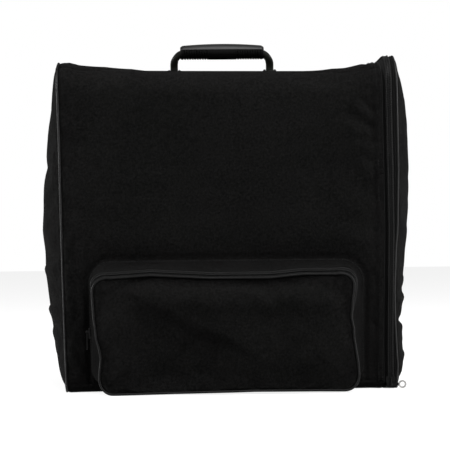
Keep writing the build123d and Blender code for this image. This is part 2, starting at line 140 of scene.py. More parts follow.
def spread(start, end, count, clustering=0.5):
    """Places from start to end that lie closer together near both."""
    even = np.linspace(0, 1, count)
    return start + (end - start) * ((1 - clustering) * even + clustering * (0.5 - 0.5 * np.cos(math.pi * even)))


def top_at(x):
    """Height of the case's top at x: level in the middle and rising to both ends."""
    rise = top_end - top_middle
    radius = (rise_length ** 2 + rise ** 2) / (2 * rise)
    past = np.maximum(np.maximum(tube_left + rise_length - x, x - tube_right + rise_length), 0)
    past = np.minimum(past, rise_length)
    return top_middle + radius - np.sqrt(radius ** 2 - past ** 2)


def section(u, top, inset=0.0):
    """y, z and outward normal round the case's section. u is 0 at the middle of the bottom, 2 to 3 up the
    front, 3 to 4 round its upper edge, 5 at the middle of the top, and comes down the back to 10."""
    u = np.mod(u, 10.0)
    side = np.where(u > 5, -1.0, 1.0)
    place = np.where(u > 5, 10 - u, u)
    run = np.minimum(place.astype(int), 4)
    share = place - run
    turn = share * math.pi / 2
    zero, one = np.zeros_like(share), np.ones_like(share)
    low_y, high_y = half_depth - bottom_radius, half_depth - top_radius
    runs = [run == k for k in range(5)]
    normal_y = np.select(runs, [zero, -np.sin(turn), -one, -np.cos(turn), zero])
    normal_z = np.select(runs, [-one, -np.cos(turn), zero, np.sin(turn), one])
    low_round, high_round = max(bottom_radius - inset, mm / 10), top_radius - inset
    y = np.select(runs, [-low_y * share, -low_y + low_round * normal_y, inset - half_depth * one,
                         -high_y + high_round * normal_y, -high_y * (1 - share)])
    z = np.select(runs, [inset * one, bottom_radius + low_round * normal_z,
                         bottom_radius + share * (top - top_radius - bottom_radius),
                         top - top_radius + high_round * normal_z, top - inset * one])
    return y * side, z, normal_y * side, normal_z


def rounded_loop(left, right, low, high, low_round, high_round, straight=36, arc=12):
    """Points and outward normals of a rounded rectangle, from the middle of its low side towards its right.
    Two loops made with the same counts match point by point."""
    middle = (left + right) / 2
    corners = [(right - low_round, low + low_round, low_round, -90),
               (right - high_round, high - high_round, high_round, 0),
               (left + high_round, high - high_round, high_round, 90),
               (left + low_round, low + low_round, low_round, 180)]
    runs = [((middle, low), (right - low_round, low), (0.0, -1.0)),
            ((right, low + low_round), (right, high - high_round), (1.0, 0.0)),
            ((right - high_round, high), (left + high_round, high), (0.0, 1.0)),
            ((left, high - high_round), (left, low + low_round), (-1.0, 0.0)),
            ((left + low_round, low), (middle, low), (0.0, -1.0))]
    share = np.linspace(0, 1, straight, endpoint=False)[:, None]
    points, normals = [], []
    for k, (start, end, normal) in enumerate(runs):
        points.append(np.array(start) + share * (np.array(end) - start))
        normals.append(np.tile(normal, (straight, 1)))
        if k < len(corners):
            x, z, radius, start_angle = corners[k]
            angles = np.radians(start_angle + np.linspace(0, 90, arc, endpoint=False))
            normals.append(np.stack([np.cos(angles), np.sin(angles)], axis=1))
            points.append(np.array([x, z]) + radius * normals[-1])
    return np.vstack(points), np.vstack(normals)


def half_width(z, half, low, high, low_round, high_round):
    """Half the width of a rounded rectangle at height z."""
    down = np.clip(low + low_round - z, 0, low_round)
    up = np.clip(z - high + high_round, 0, high_round)
    return half - low_round + np.sqrt(low_round ** 2 - down ** 2) - high_round + np.sqrt(
        high_round ** 2 - up ** 2)


def columns_at(places, known, values):
    """Every column of values, which are known at some places, at other places."""
    return np.stack([np.interp(places, known, column) for column in values.T], axis=-1)


def resample(points, others, spacing, closed):
    """Points every spacing along a line of points, with the values in others carried along."""
    if closed:
        points = np.vstack([points, points[:1]])
        others = [np.vstack([o, o[:1]]) for o in others]
    lengths = np.concatenate([[0], np.cumsum(np.linalg.norm(np.diff(points, axis=0), axis=1))])
    count = max(int(round(lengths[-1] / spacing)), 2)
    places = np.linspace(0, lengths[-1], count, endpoint=not closed)
    return columns_at(places, lengths, points), [columns_at(places, lengths, o) for o in others]


def unit(vectors):
    return vectors / np.linalg.norm(vectors, axis=-1, keepdims=True)


def xyz(x, y, z):
    """Points from their coordinates, each of which may be one number for all of them."""
    return np.stack(np.broadcast_arrays(x, y, z), axis=-1)


def steps(first, last, count):
    """Places round the section from first to last, with count of them to each of its parts."""
    return np.concatenate([np.linspace(k, k + 1, count, endpoint=False) for k in range(first, last)])


def standing(loop, normal, y, toward):
    """Points, outward normals and forward directions of a loop that stands at y and looks toward -1 or 1."""
    return (xyz(loop[:, 0], y, loop[:, 1]), xyz(normal[:, 0], 0.0, normal[:, 1]),
            np.tile([0.0, toward, 0.0], (len(loop), 1)))


# ---- How the soft case has settled ---------------------------------------------------------------------
# Shifts away from the straight frame in millimetres. Leans are (height, shift towards +X); sags and lifts are
# (place along X, shift upwards).
left_lean = [(0, 6.5), (60, 5.0), (140, 3.0), (230, 1.0), (330, -0.5), (400, -2.2), (430, -3.0), (442, -3.4),
             (452, -2.0)]
top_sag = [(-226, -3.2), (-221, -1.4), (-213, 0.6), (-200, -0.4), (-185, 1.0), (-165, 3.0), (-150, 2.8),
           (-130, 2.6), (-112, 0.4), (-60, -0.2), (70, -1.2), (130, -1.6), (145, -1.2), (163, -2.8), (185, -1.8),
           (197, -4.6), (208.5, -6.4), (212, 0.0), (218, 1.4), (226, 3.6)]
zip_lean = [(0, 0), (69, 0), (123, 1.0), (178, 2.4), (218, 3.2), (299, 2.6), (394, 1.4), (452, 1.4)]
cord_lean = [(0, -1.0), (8, -2.6), (29, -0.7), (56, -2.2), (83, -3.4), (109, -4.0), (137, -4.0), (191, -1.7),
             (218, 0.8), (300, 2.8), (416, 1.5), (452, 0.5)]
mouth_left_lean = [(0, 5.0), (29, 5.5), (50, 8.0), (62, 6.0), (76, 2.5), (90, 1.5), (100, 0.3), (119, -0.8),
                   (135, -1.4), (150, -2.5), (162, -2.0)]
mouth_right_lean = [(0, 7.0), (26, 7.0), (40, 6.0), (74, 0.7), (85, 0.5), (100, -2.5), (119, -1.2), (145, 3.0),
                    (162, 3.0)]
mouth_top_sag = [(-186, -1.0), (-159, -4.8), (-106, -1.5), (-27, -6.1), (53, -6.1), (93, -2.1), (138, -2.1),
                 (159, 3.0)]
mouth_low_lift = [(-160, -0.6), (-84, 0.5), (0, 1.4), (30, 2.0), (110, 1.4), (155, 0.6)]


def table(value, pairs):
    """The value at a place in millimetres of a line through pairs, in metres."""
    places, values = zip(*pairs)
    return np.interp(value / mm, places, values) * mm


shoulder_depth, shoulder_height = 5 * mm, 46 * mm                 # how the upper edges draw in
tilt_lift, tilt_left, tilt_right = 6 * mm, 3 * mm, 4 * mm         # how the pocket's zip band turns to the front


def settle(points):
    """Leans the ends and the zip, draws the upper edges in, and lets the pocket's mouth sag and its zip tilt,
    the same way for every soft piece."""
    x, y, z = points[..., 0], points[..., 1], points[..., 2]
    moved = points.copy()
    moved[..., 0] += smooth(-x, 120 * mm, 225 * mm) * table(z, left_lean)
    past_coil = smooth(x, zip_middle + coil_half_width, piping_x - piping_radius)
    end = (1 - past_coil) * table(z, zip_lean) + past_coil * table(z, cord_lean)
    moved[..., 0] += smooth(x, 130 * mm, tube_right) * end
    high_edge = smooth(z, 330 * mm, 420 * mm) * smooth(np.abs(y), 20 * mm, 70 * mm)
    moved[..., 2] += high_edge * table(x, top_sag)
    near_top = np.clip((z - top_at(x) + shoulder_height) / shoulder_height, 0, 1)
    moved[..., 1] -= shoulder_depth * near_top ** 2 * np.sign(y) * smooth(np.abs(y), 50 * mm, 108 * mm)
    mouth = smooth(-y, half_depth + 6 * mm, mouth_back)
    moved[..., 0] += mouth * smooth(-x, 20 * mm, 170 * mm) * table(z, mouth_left_lean)
    moved[..., 0] += mouth * smooth(x, 20 * mm, 150 * mm) * table(z, mouth_right_lean)
    moved[..., 2] += mouth * smooth(z, fold_z + 20 * mm, mouth_high - 4 * mm) * table(x, mouth_top_sag)
    moved[..., 2] += mouth * smooth(-z, -60 * mm, -6 * mm) * table(x, mouth_low_lift)
    tilt = mouth * (1 - smooth(-y, mouth_back - 2 * mm, mouth_front + 2 * mm))
    moved[..., 2] += tilt_lift * tilt * smooth(z, mouth_high - 30 * mm, mouth_high - 4 * mm)
    above_slider = smooth(z, fold_z + 40 * mm, fold_z + 56 * mm)
    moved[..., 0] -= tilt_left * tilt * above_slider * smooth(-x, 140 * mm, 175 * mm)
    above_fold = smooth(z, fold_z + 6 * mm, fold_z + 30 * mm)
    moved[..., 0] += tilt_right * tilt * above_fold * smooth(x, 120 * mm, 155 * mm)
    return moved


# ---- Mesh makers ---------------------------------------------------------------------------------------
def link(name, data):
    """A new object in the scene."""
    thing = bpy.data.objects.new(name, data)
    bpy.context.scene.collection.objects.link(thing)
    return thing


def shade(mesh, sharp):
    """Smooth shading, but for edges sharper than that many degrees."""
    mesh.shade_smooth()
    mesh.set_sharp_from_angle(angle=math.radians(sharp))


def add_mesh(name, verts, faces, material, sharp=55):
    """An object of one closed mesh with its faces turned outward."""
    mesh = bpy.data.meshes.new(name)
    mesh.from_pydata(np.asarray(verts).reshape(-1, 3).tolist(), [], faces)
    form = bmesh.new()
    form.from_mesh(mesh)
    bmesh.ops.recalc_face_normals(form, faces=form.faces)
    form.to_mesh(mesh)
    form.free()
    shade(mesh, sharp)
    mesh.materials.append(material)
    return link(name, mesh)


def grid_faces(rows, columns, offset=0, wrap_rows=False, wrap_columns=False):
    """Four-sided faces over a grid of points that are counted from offset."""
    index = np.arange(rows * columns).reshape(rows, columns) + offset
    if wrap_rows:
        index = np.vstack([index, index[:1]])
    if wrap_columns:
        index = np.hstack([index, index[:, :1]])
    quads = np.stack([index[:-1, :-1], index[1:, :-1], index[1:, 1:], index[:-1, 1:]], axis=-1)
    return quads.reshape(-1, 4).tolist()


def tube_faces(rows, columns):
    """Faces round a run of rings, closed at both ends."""
    return grid_faces(rows, columns, wrap_columns=True) + [list(range(columns)),
                                                           list(range((rows - 1) * columns, rows * columns))]


def slab(name, outer, inner, material):
    """A closed solid between two matching grids of points."""
    rows, columns = outer.shape[:2]
    count = rows * columns
    faces = grid_faces(rows, columns) + grid_faces(rows, columns, count)
    index = np.arange(count).reshape(rows, columns)
    border = np.concatenate([index[0, :-1], index[:-1, -1], index[-1, :0:-1], index[:0:-1, 0]])
    following = np.roll(border, -1)
    rim = np.stack([border, following, following + count, border + count], axis=1)
    verts = np.concatenate([outer.reshape(-1, 3), inner.reshape(-1, 3)])
    return add_mesh(name, verts, faces + rim.tolist(), material)


def sweep(name, points, normals, across, profile, material, closed, sharp=55):
    """A solid whose profile, pairs of (across, outward), follows a line of points."""
    profile = np.asarray(profile, float)
    rings = (points[:, None] + profile[None, :, 0, None] * across[:, None]
             + profile[None, :, 1, None] * normals[:, None])
    size = rings.shape[:2]
    faces = grid_faces(*size, wrap_rows=True, wrap_columns=True) if closed else tube_faces(*size)
    return add_mesh(name, settle(rings), faces, material, sharp)


def circle(radius, sides=piping_sides, shift=(0.0, 0.0)):
    angles = np.linspace(0, 2 * math.pi, sides, endpoint=False)
    return np.stack([shift[0] + radius * np.cos(angles), shift[1] + radius * np.sin(angles)], axis=1)


def copies(name, form, faces, frames, material, sharp=55):
    """One mesh of many copies of a small form, each placed by (origins, x axes, y axes, z axes)."""
    origins, ax, ay, az = frames
    placed = (origins[:, None] + form[None, :, 0, None] * ax[:, None] + form[None, :, 1, None] * ay[:, None]
              + form[None, :, 2, None] * az[:, None])
    step = len(form)
    every = [[v + k * step for v in face] for k in range(len(origins)) for face in faces]
    return add_mesh(name, placed, every, material, sharp)


def rod(stations, sides):
    """A small closed form with a ring of sides points at each (place, height, radius)."""
    angles = np.linspace(0, 2 * math.pi, sides, endpoint=False)
    form = [[x, radius * math.cos(a), height + radius * math.sin(a)]
            for x, height, radius in stations for a in angles]
    return np.array(form), tube_faces(len(stations), sides)


stitch_length, stitch_gap, stitch_radius = 2.7 * mm, 1.1 * mm, 0.32 * mm


def stitches(name, lines, material):
    """Rows of single stitches. Each line is (points, normals, closed) on the finished surface."""
    form, faces = rod([(-0.5 * stitch_length, -stitch_radius, 0.4 * stitch_radius),
                       (-0.34 * stitch_length, 0.1 * stitch_radius, stitch_radius),
                       (0.34 * stitch_length, 0.1 * stitch_radius, stitch_radius),
                       (0.5 * stitch_length, -stitch_radius, 0.4 * stitch_radius)], 6)
    origins, along, out = [], [], []
    for points, normals, closed in lines:
        placed, (normal,) = resample(points, [normals], stitch_length + stitch_gap, closed)
        ahead = np.roll(placed, -1, axis=0) if closed else np.vstack([placed[1:], 2 * placed[-1:] - placed[-2:-1]])
        behind = np.roll(placed, 1, axis=0) if closed else np.vstack([2 * placed[:1] - placed[1:2], placed[:-1]])
        origins.append(placed), along.append(unit(ahead - behind)), out.append(unit(normal))
    origins, along, out = np.vstack(origins), np.vstack(along), np.vstack(out)
    return copies(name, form, faces, (origins, along, np.cross(out, along), out), material)


def between(values, rows, columns, all_rows, all_columns):
    """Values known at some rows and columns of a grid, filled in at every row and column."""
    wide = np.stack([columns_at(range(all_columns), columns, line) for line in values])
    return np.stack([columns_at(range(all_rows), rows, wide[..., k]) for k in range(3)], axis=2)


rest_frames = 20
rest_step = 2                    # the cloth takes every second row and column of the panel


def rested(outer, away, pressure, excess, cap):
    """The skin of a padded panel after its cloth, a little larger than the panel and held along its seams, has
    come to rest over the padding's pressure. No point moves further than cap."""
    all_rows, all_columns = outer.shape[:2]
    rows = np.unique(np.append(np.arange(0, all_rows, rest_step), all_rows - 1))
    columns = np.unique(np.append(np.arange(0, all_columns, rest_step), all_columns - 1))
    start = outer[np.ix_(rows, columns)]
    faces = grid_faces(len(rows), len(columns))
    middle = start[len(rows) // 2:][:2, len(columns) // 2:][:, :2]
    across, along = middle[0, 1] - middle[0, 0], middle[1, 0] - middle[0, 0]
    if np.dot(np.cross(along, across), away) < 0:
        faces = [face[::-1] for face in faces]
    mesh = bpy.data.meshes.new("resting_cloth")
    mesh.from_pydata(start.reshape(-1, 3).tolist(), [], faces)
    piece = link("resting_cloth", mesh)
    index = np.arange(len(rows) * len(columns)).reshape(len(rows), len(columns))
    held = np.concatenate([index[0], index[-1], index[:, 0], index[:, -1]])
    piece.vertex_groups.new(name="held").add(sorted(set(held.tolist())), 1.0, "REPLACE")
    modifier = piece.modifiers.new("rest", "CLOTH")
    for setting, value in (("vertex_group_mass", "held"), ("quality", 4), ("mass", 0.3), ("bending_stiffness", 0.8),
                           ("shrink_min", -excess), ("use_pressure", True), ("uniform_pressure_force", pressure)):
        setattr(modifier.settings, setting, value)
    modifier.settings.effector_weights.gravity = 0.0
    modifier.point_cache.frame_start, modifier.point_cache.frame_end = 1, rest_frames
    for number in range(1, rest_frames + 1):
        bpy.context.scene.frame_set(number)
    result = piece.evaluated_get(bpy.context.evaluated_depsgraph_get()).data
    found = np.empty(len(result.vertices) * 3)
    result.vertices.foreach_get("co", found)
    shift = found.reshape(start.shape) - start
    far = np.linalg.norm(shift, axis=-1, keepdims=True)
    shift = shift * cap / (far + cap)
    bpy.context.scene.frame_set(1)
    bpy.data.objects.remove(piece)
    return outer + between(shift, rows, columns, all_rows, all_columns)


# ---- Materials -----------------------------------------------------------------------------------------
class Finish:
    """A procedural material and short ways to wire its nodes."""

    def __init__(self, name, **values):
        self.material = bpy.data.materials.new(name)
        self.material.use_nodes = True
        self.tree = self.material.node_tree
        self.shader = self.tree.nodes["Principled BSDF"]
        for socket, value in values.items():
            self.shader.inputs[socket.replace("_", " ")].default_value = value
        coordinates = self.add("ShaderNodeTexCoord")
        self.place = coordinates.outputs["Object"]
        self.normal = coordinates.outputs["Normal"]

    def add(self, kind, inputs=(), **settings):
        node = self.tree.nodes.new(kind)
        for key, value in settings.items():
            setattr(node, key, value)
        for socket, value in dict(inputs).items():
            self.put(node.inputs[socket], value)
        return node

    def put(self, socket, value):
        if isinstance(value, bpy.types.NodeSocket):
            self.tree.links.new(value, socket)
        else:
            socket.default_value = value

    def math(self, operation, a, b=0.0):
        return self.add("ShaderNodeMath", {0: a, 1: b}, operation=operation).outputs[0]

    def total(self, *parts):
        """The sum of parts, each a value and its weight."""
        products = [self.math("MULTIPLY", value, weight) for value, weight in parts]
        found = products[0]
        for product in products[1:]:
            found = self.math("ADD", found, product)
        return found

    def noise(self, scale, detail=2.0, roughness=0.5, place=None):
        return self.add("ShaderNodeTexNoise", {"Vector": place or self.place, "Scale": scale, "Detail": detail,
                                               "Roughness": roughness}).outputs["Fac"]

    def cells(self, scale):
        return self.add("ShaderNodeTexVoronoi", {"Vector": self.place, "Scale": scale}).outputs["Distance"]

    def spread(self, value, low, high, out_low, out_high):
        return self.add("ShaderNodeMapRange", enumerate((value, low, high, out_low, out_high))).outputs[0]

    def blend(self, factor, a, b):
        return self.add("ShaderNodeMix", {0: factor, 6: a, 7: b}, data_type="RGBA").outputs[2]

    def stretched(self, x, y, z):
        return self.add("ShaderNodeMapping", {"Vector": self.place, "Scale": (x, y, z)}).outputs[0]

    def threads_plane(self):
        """The two coordinates that lie in the surface, by where its normal points."""
        size = self.add("ShaderNodeVectorMath", {0: self.normal}, operation="ABSOLUTE").outputs[0]
        nx, ny, nz = self.add("ShaderNodeSeparateXYZ", {0: size}).outputs
        x, y, z = self.add("ShaderNodeSeparateXYZ", {0: self.place}).outputs
        facing_x = self.math("MULTIPLY", self.math("GREATER_THAN", nx, ny), self.math("GREATER_THAN", nx, nz))
        facing_z = self.math("MULTIPLY", self.math("GREATER_THAN", nz, ny), self.math("GREATER_THAN", nz, nx))
        return self.choose(facing_x, y, x), self.choose(facing_z, y, z)

    def choose(self, factor, a, b):
        """a where factor is 1, b where it is 0."""
        return self.add("ShaderNodeMix", {0: factor, 2: b, 3: a}, data_type="FLOAT").outputs[0]

    def weave(self, pitch):
        """Height of a plain weave whose threads are pitch apart, and which thread is on top."""
        first, second = self.threads_plane()
        warp, weft = [self.math("SINE", self.math("MULTIPLY", run, math.pi / pitch)) for run in (first, second)]
        on_top = self.math("GREATER_THAN", self.math("MULTIPLY", warp, weft), 0.0)
        height = self.choose(on_top, self.math("ABSOLUTE", warp), self.math("ABSOLUTE", weft))
        return height, on_top

    def bump(self, height, distance, strength=1.0, under=None):
        inputs = {"Strength": strength, "Distance": distance, "Height": height}
        if under is not None:
            inputs["Normal"] = under
        return self.add("ShaderNodeBump", inputs).outputs[0]

    def finish(self, colour=None, roughness=None, normal=None):
        for socket, value in (("Base Color", colour), ("Roughness", roughness), ("Normal", normal)):
            if value is not None:
                self.put(self.shader.inputs[socket], value)
        return self.material


def grey(value, warmth=0.0):
    return (value * (1 + warmth), value, value * (1 - warmth), 1.0)


def woven(name, dark, light, pitch, warmth=0.0, sheen=0.03, depth=0.25 * mm, specular=0.12):
    """Woven cloth: threads, slubs, a slow drift of tone, and a little fluff that catches light at its edges."""
    look = Finish(name, Sheen_Weight=sheen, Sheen_Roughness=0.45, Specular_IOR_Level=specular)
    height, on_top = look.weave(pitch)
    slubs = look.noise(900.0, 3.0)
    grain = look.noise(330.0, 3.0, 0.7)
    drift = look.noise(9.0, 4.0, 0.6)
    tone = look.total((height, 0.3), (slubs, 0.3), (grain, 0.95), (drift, 0.35), (on_top, -0.12))
    colour = look.blend(look.spread(tone, 0.68, 1.28, 0.0, 1.0), grey(dark, warmth), grey(light, warmth))
    rough = look.spread(drift, 0.3, 0.7, 0.78, 0.95)
    fine = look.bump(height, depth, 0.8)
    pilled = look.bump(grain, 0.8 * mm, 0.6, fine)
    soft = look.bump(look.noise(60.0, 4.0, 0.55), 1.2 * mm, 0.5, pilled)
    return look.finish(colour, rough, soft)


def ribbed(name, dark, light, pitch, rib, sheen=0.03):
    """Narrow woven tape: fine cross ribs over a weave."""
    look = Finish(name, Sheen_Weight=sheen, Specular_IOR_Level=0.03)
    height, _ = look.weave(pitch)
    _, second = look.threads_plane()
    cord_lines = look.math("SINE", look.math("MULTIPLY", second, 2 * math.pi / rib))
    both = look.math("ADD", height, look.math("MULTIPLY", cord_lines, 0.4))
    wear = look.noise(35.0, 4.0)
    tone = look.total((both, 0.5), (wear, 0.6))
    colour = look.blend(look.spread(tone, 0.2, 0.9, 0.0, 1.0), grey(dark), grey(light))
    return look.finish(colour, look.spread(wear, 0.3, 0.7, 0.5, 0.7), look.bump(both, 0.2 * mm, 0.8))


def moulded(name, dark, light, specular, grain, roughness=(0.35, 0.6), depth=0.12 * mm, worn=40.0, tint=None):
    """Moulded plastic, rubber or coated leather with a fine pebbled grain and rubbed places."""
    look = Finish(name, Specular_IOR_Level=specular)
    pebbles = look.cells(grain)
    rub = look.noise(worn, 5.0, 0.6)
    tone = look.total((pebbles, 0.5), (rub, 0.8))
    dark_colour, light_colour = tint or (grey(dark), grey(light))
    colour = look.blend(look.spread(tone, 0.3, 0.9, 0.0, 1.0), dark_colour, light_colour)
    fine = look.bump(pebbles, depth, 0.6)
    return look.finish(colour, look.spread(rub, 0.3, 0.7, *roughness), look.bump(rub, 0.3 * mm, 0.3, fine))


def metal(name, dark, light, warmth, roughness):
    """Plated metal with fine scratches, dull patches and slight tarnish."""
    look = Finish(name, Metallic=1.0)
    patches = look.noise(120.0, 5.0, 0.65)
    scratches = look.noise(400.0, 2.0, 0.5, look.stretched(1.0, 1.0, 14.0))
    tone = look.total((patches, 0.7), (scratches, 0.3))
    colour = look.blend(look.spread(tone, 0.3, 0.7, 0.0, 1.0), grey(dark, warmth), grey(light, warmth))
    rough = look.spread(tone, 0.3, 0.7, roughness[1], roughness[0])
    return look.finish(colour, rough, look.bump(scratches, 0.05 * mm, 0.5))


def fibreboard(name):
    """Brown pressed board with long fibres."""
    look = Finish(name, Roughness=0.85)
    fibres = look.noise(300.0, 6.0, 0.7, look.stretched(1.0, 6.0, 1.0))
    colour = look.blend(fibres, (0.10, 0.06, 0.035, 1.0), (0.24, 0.16, 0.10, 1.0))
    return look.finish(colour, None, look.bump(fibres, 0.3 * mm, 0.5))


fabric = woven("outer_fabric", 0.0008, 0.0098, 0.95 * mm, 0.015, 0.006, specular=0.02)
# The outer fabric again, darker: painted shade on the pocket's sides, which face up into the lamp light.
shaded_gusset_cloth = woven("pocket_gusset", 0.0006, 0.0062, 0.95 * mm, 0.015, 0.006, specular=0.02)
lining_cloth = woven("lining", 0.012, 0.026, 0.5 * mm, 0.0, 0.1, 0.1 * mm)
piping_cloth = moulded("piping", 0.0008, 0.0078, 0.2, 260.0, (0.3, 0.75), 0.1 * mm, 16.0)
pocket_cord_cloth = moulded("pocket_piping", 0.001, 0.0055, 0.12, 260.0, (0.35, 0.7), 0.1 * mm, 18.0)
tape_cloth = ribbed("zip_tape", 0.0008, 0.0040, 0.6 * mm, 1.6 * mm)
coil_nylon = moulded("zip_coil", 0.0015, 0.006, 0.14, 1500.0, (0.4, 0.55), 0.05 * mm)
thread = woven("thread", 0.008, 0.022, 0.3 * mm, 0.0, 0.01, 0.05 * mm, 0.06)
black_metal = moulded("black_metal", 0.001, 0.004, 0.1, 700.0, (0.45, 0.65), 0.04 * mm)
nickel = metal("nickel", 0.30, 0.55, 0.02, (0.3, 0.5))
pull_cord = moulded("cord_pull", 0.0015, 0.006, 0.08, 1200.0)
cap_plastic = moulded("grip_cap", 0.003, 0.010, 0.32, 1800.0, (0.42, 0.55), 0.04 * mm)
leather = moulded("handle_leather", 0.02, 0.05, 0.1, 1100.0, (0.4, 0.62), 0.1 * mm,
                  tint=((0.0014, 0.0016, 0.0011, 1.0), (0.0048, 0.0054, 0.0036, 1.0)))
rubber = moulded("grip_rubber", 0.0007, 0.003, 0.08, 1600.0, (0.5, 0.7), 0.08 * mm)
webbing_cloth = ribbed("webbing", 0.010, 0.026, 1.1 * mm, 2.6 * mm, 0.05)
buckle = moulded("buckle_plastic", 0.005, 0.014, 0.15, 1400.0, (0.4, 0.6), 0.06 * mm)
board = fibreboard("board")


# ---- Dressing ------------------------------------------------------------------------------------------
def dress(piece, body, slot, *nodes, fill=None):
    """Puts a finished piece on its body and hides the frame nodes it stands for."""
    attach(piece, body)
    if nodes:
        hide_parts(*nodes)
    return piece


hard_edge = 35


def paint(material, *nodes):
    """Gives hard pieces that show as the frame has them their material."""
    for name in nodes:
        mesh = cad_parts[name].data
        mesh.materials.clear()
        mesh.materials.append(material)
        shade(mesh, hard_edge)


# ---- The four wall panels ------------------------------------------------------------------------------
wall_columns = 150
panel_puff = 3.2 * mm
hem_width = 9.5 * mm
seam_pull = 0.9 * mm             # how far stitching draws a panel's edge in


def seam_turn(x):
    """Share of the upper edge's turn that lies below the top seam, which comes forward at both ends."""
    return 0.88 - 0.31 * (smooth(-x, 100 * mm, 215 * mm) + smooth(x, 60 * mm, 190 * mm))


def front_seam(x):
    return 3 + seam_turn(x)


def back_seam(x):
    return 7 - seam_turn(x)


# Folds of the front panel in millimetres: (start x, z), (end x, z), width, depth
front_folds = [
    ((178, 398), (202, 374), 6.0, 2.2), ((160, 376), (200, 352), 8.0, 2.4), ((172, 342), (200, 336), 6.0, 1.6),
    ((180, 318), (200, 306), 6.0, 1.2), ((196, 300), (200, 250), 5.0, 1.2), ((150, 300), (196, 262), 14.0, 1.2),
    ((150, 232), (200, 218), 12.0, 1.0), ((182, 122), (192, 74), 7.0, 3.0), ((186, 96), (200, 84), 5.0, 2.4),
    ((186, 60), (194, 20), 5.0, 1.6), ((-210, 210), (-206, 40), 8.0, 1.8), ((-196, 150), (-194, 20), 6.0, 0.8),
    ((-224, 392), (-200, 360), 7.0, 0.8),
]


def fold_sum(x, z, folds):
    total = np.zeros_like(x)
    for start, end, width, depth in folds:
        total += crease(x / mm, z / mm, start, end, width, depth) * mm
    return total


def from_pocket(x, z):
    """Distance from the pocket's base, 0 on it."""
    inside = pocket_base_round
    dx = np.maximum(np.maximum(gusset_low.x + inside - x, x - gusset_high.x + inside), 0)
    dz = np.maximum(z - gusset_high.z + inside, 0)
    return np.maximum(np.hypot(dx, dz) - inside, 0)


def hem(x, height):
    """The cloth folded over beside the zip, sewn down that much proud of the panel."""
    return height * smooth(hem_width - (tube_right - x), 0, 1.5 * mm)


def front_relief(points, seam):
    x, z = points[..., 0], points[..., 2]
    puff = panel_puff * (1 - np.exp(-seam / (26 * mm)))
    drift = 1.1 * mm * waves(points, 150 * mm, 3) + 0.35 * mm * waves(points, 42 * mm, 5)
    off_pocket = from_pocket(x, z)
    open_field = smooth(off_pocket, 0, 34 * mm)
    seam_dip = -2.4 * mm * near(off_pocket - 3.2 * mm, 2.4 * mm)
    near_zip = smooth(tube_right - x, 6 * mm, 30 * mm)
    folds = fold_sum(x, z, front_folds) * smooth(tube_right - x, 2 * mm, 12 * mm)
    return (open_field * (near_zip * puff + drift * smooth(seam, 4 * mm, 40 * mm) + folds) + hem(x, 1.5 * mm)
            + seam_dip)


def top_relief(points, seam):
    x = points[..., 0]
    puff = (2.2 * mm * smooth(np.abs(x), 70 * mm, 150 * mm) - 0.8 * mm) * (1 - np.exp(-seam / (20 * mm)))
    drift = 0.5 * mm * (waves(points, 120 * mm, 11) - 1.0)
    low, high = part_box("handle_brackets")
    dx = np.maximum(np.maximum(low.x - x, x - high.x), 0)
    clear = smooth(np.hypot(dx, np.maximum(np.abs(points[..., 1]) - high.y, 0)), 0, 40 * mm)
    inward = smooth(seam, 0, 25 * mm) * smooth(tube_right - x, 6 * mm, 30 * mm)
    return clear * (puff + drift) * inward + hem(x, 0.9 * mm)


def back_relief(points, seam):
    drift = 0.5 * mm * (waves(points, 110 * mm, 17) - 1.8)
    return drift * smooth(seam, 4 * mm, 40 * mm) + hem(points[..., 0], 0.9 * mm)


def bottom_relief(points, seam):
    return 0.25 * mm * (waves(points, 60 * mm, 19) - 1.6) * smooth(seam, 0, 20 * mm)


def wall_panel(name, start, end, relief, rows, seams, rest=None):
    """A padded panel of the case's wall between two seams. Its edges are pulled in by their stitching."""
    x, share = np.meshgrid(spread(tube_left, tube_right, wall_columns, 0.35), spread(0, 1, rows, 0.3))
    u = start(x) + (end(x) - start(x)) * share
    y, z, ny, nz = section(u, top_at(x))
    outer = xyz(x, y, z)
    run = np.cumsum(np.linalg.norm(np.diff(outer, axis=0, prepend=outer[:1]), axis=2), axis=0)
    across = np.minimum(run, run[-1:] - run)
    ends = np.minimum(x - tube_left, tube_right - x)
    pulled = -seam_pull * near(ends, 2.0 * mm)
    for depth, away in zip(seams, (run, run[-1:] - run)):
        pulled = pulled - depth * near(away, 2.6 * mm)
    outer = settle(outer + xyz(0.0, ny, nz) * (relief(outer, np.minimum(across, ends)) + pulled)[..., None])
    if rest:
        outer = rested(outer, *rest)
    y, z, _, _ = section(u, top_at(x), wall)
    return slab(name, outer, settle(xyz(x, y, z)), fabric)


def level(u):
    """A seam that stays at the same place round the section."""
    return lambda x: np.full_like(x, u)


def wall_panels():
    swell = ((0, -1, 0), 0.4, 0.006, 3 * mm)
    for side, start, end, relief, rows, seams, fill, rest in (
            ("front", level(2), front_seam, front_relief, 170, (0.6 * mm, 1.2 * mm), 0.7, swell),
            ("top", front_seam, back_seam, top_relief, 90, (1.8 * mm, 2.4 * mm), 0.7, None),
            ("back", back_seam, level(8), back_relief, 140, (2.4 * mm, 0.6 * mm), 0.7, None),
            ("bottom", level(-2), level(2), bottom_relief, 80, (0.6 * mm, 0.6 * mm), 0.6, None)):
        dress(wall_panel(f"{side}_padding", start, end, relief, rows, seams, rest), "case", "outer_fabric",
              f"{side}_panel", f"{side}_foam", fill=fill)


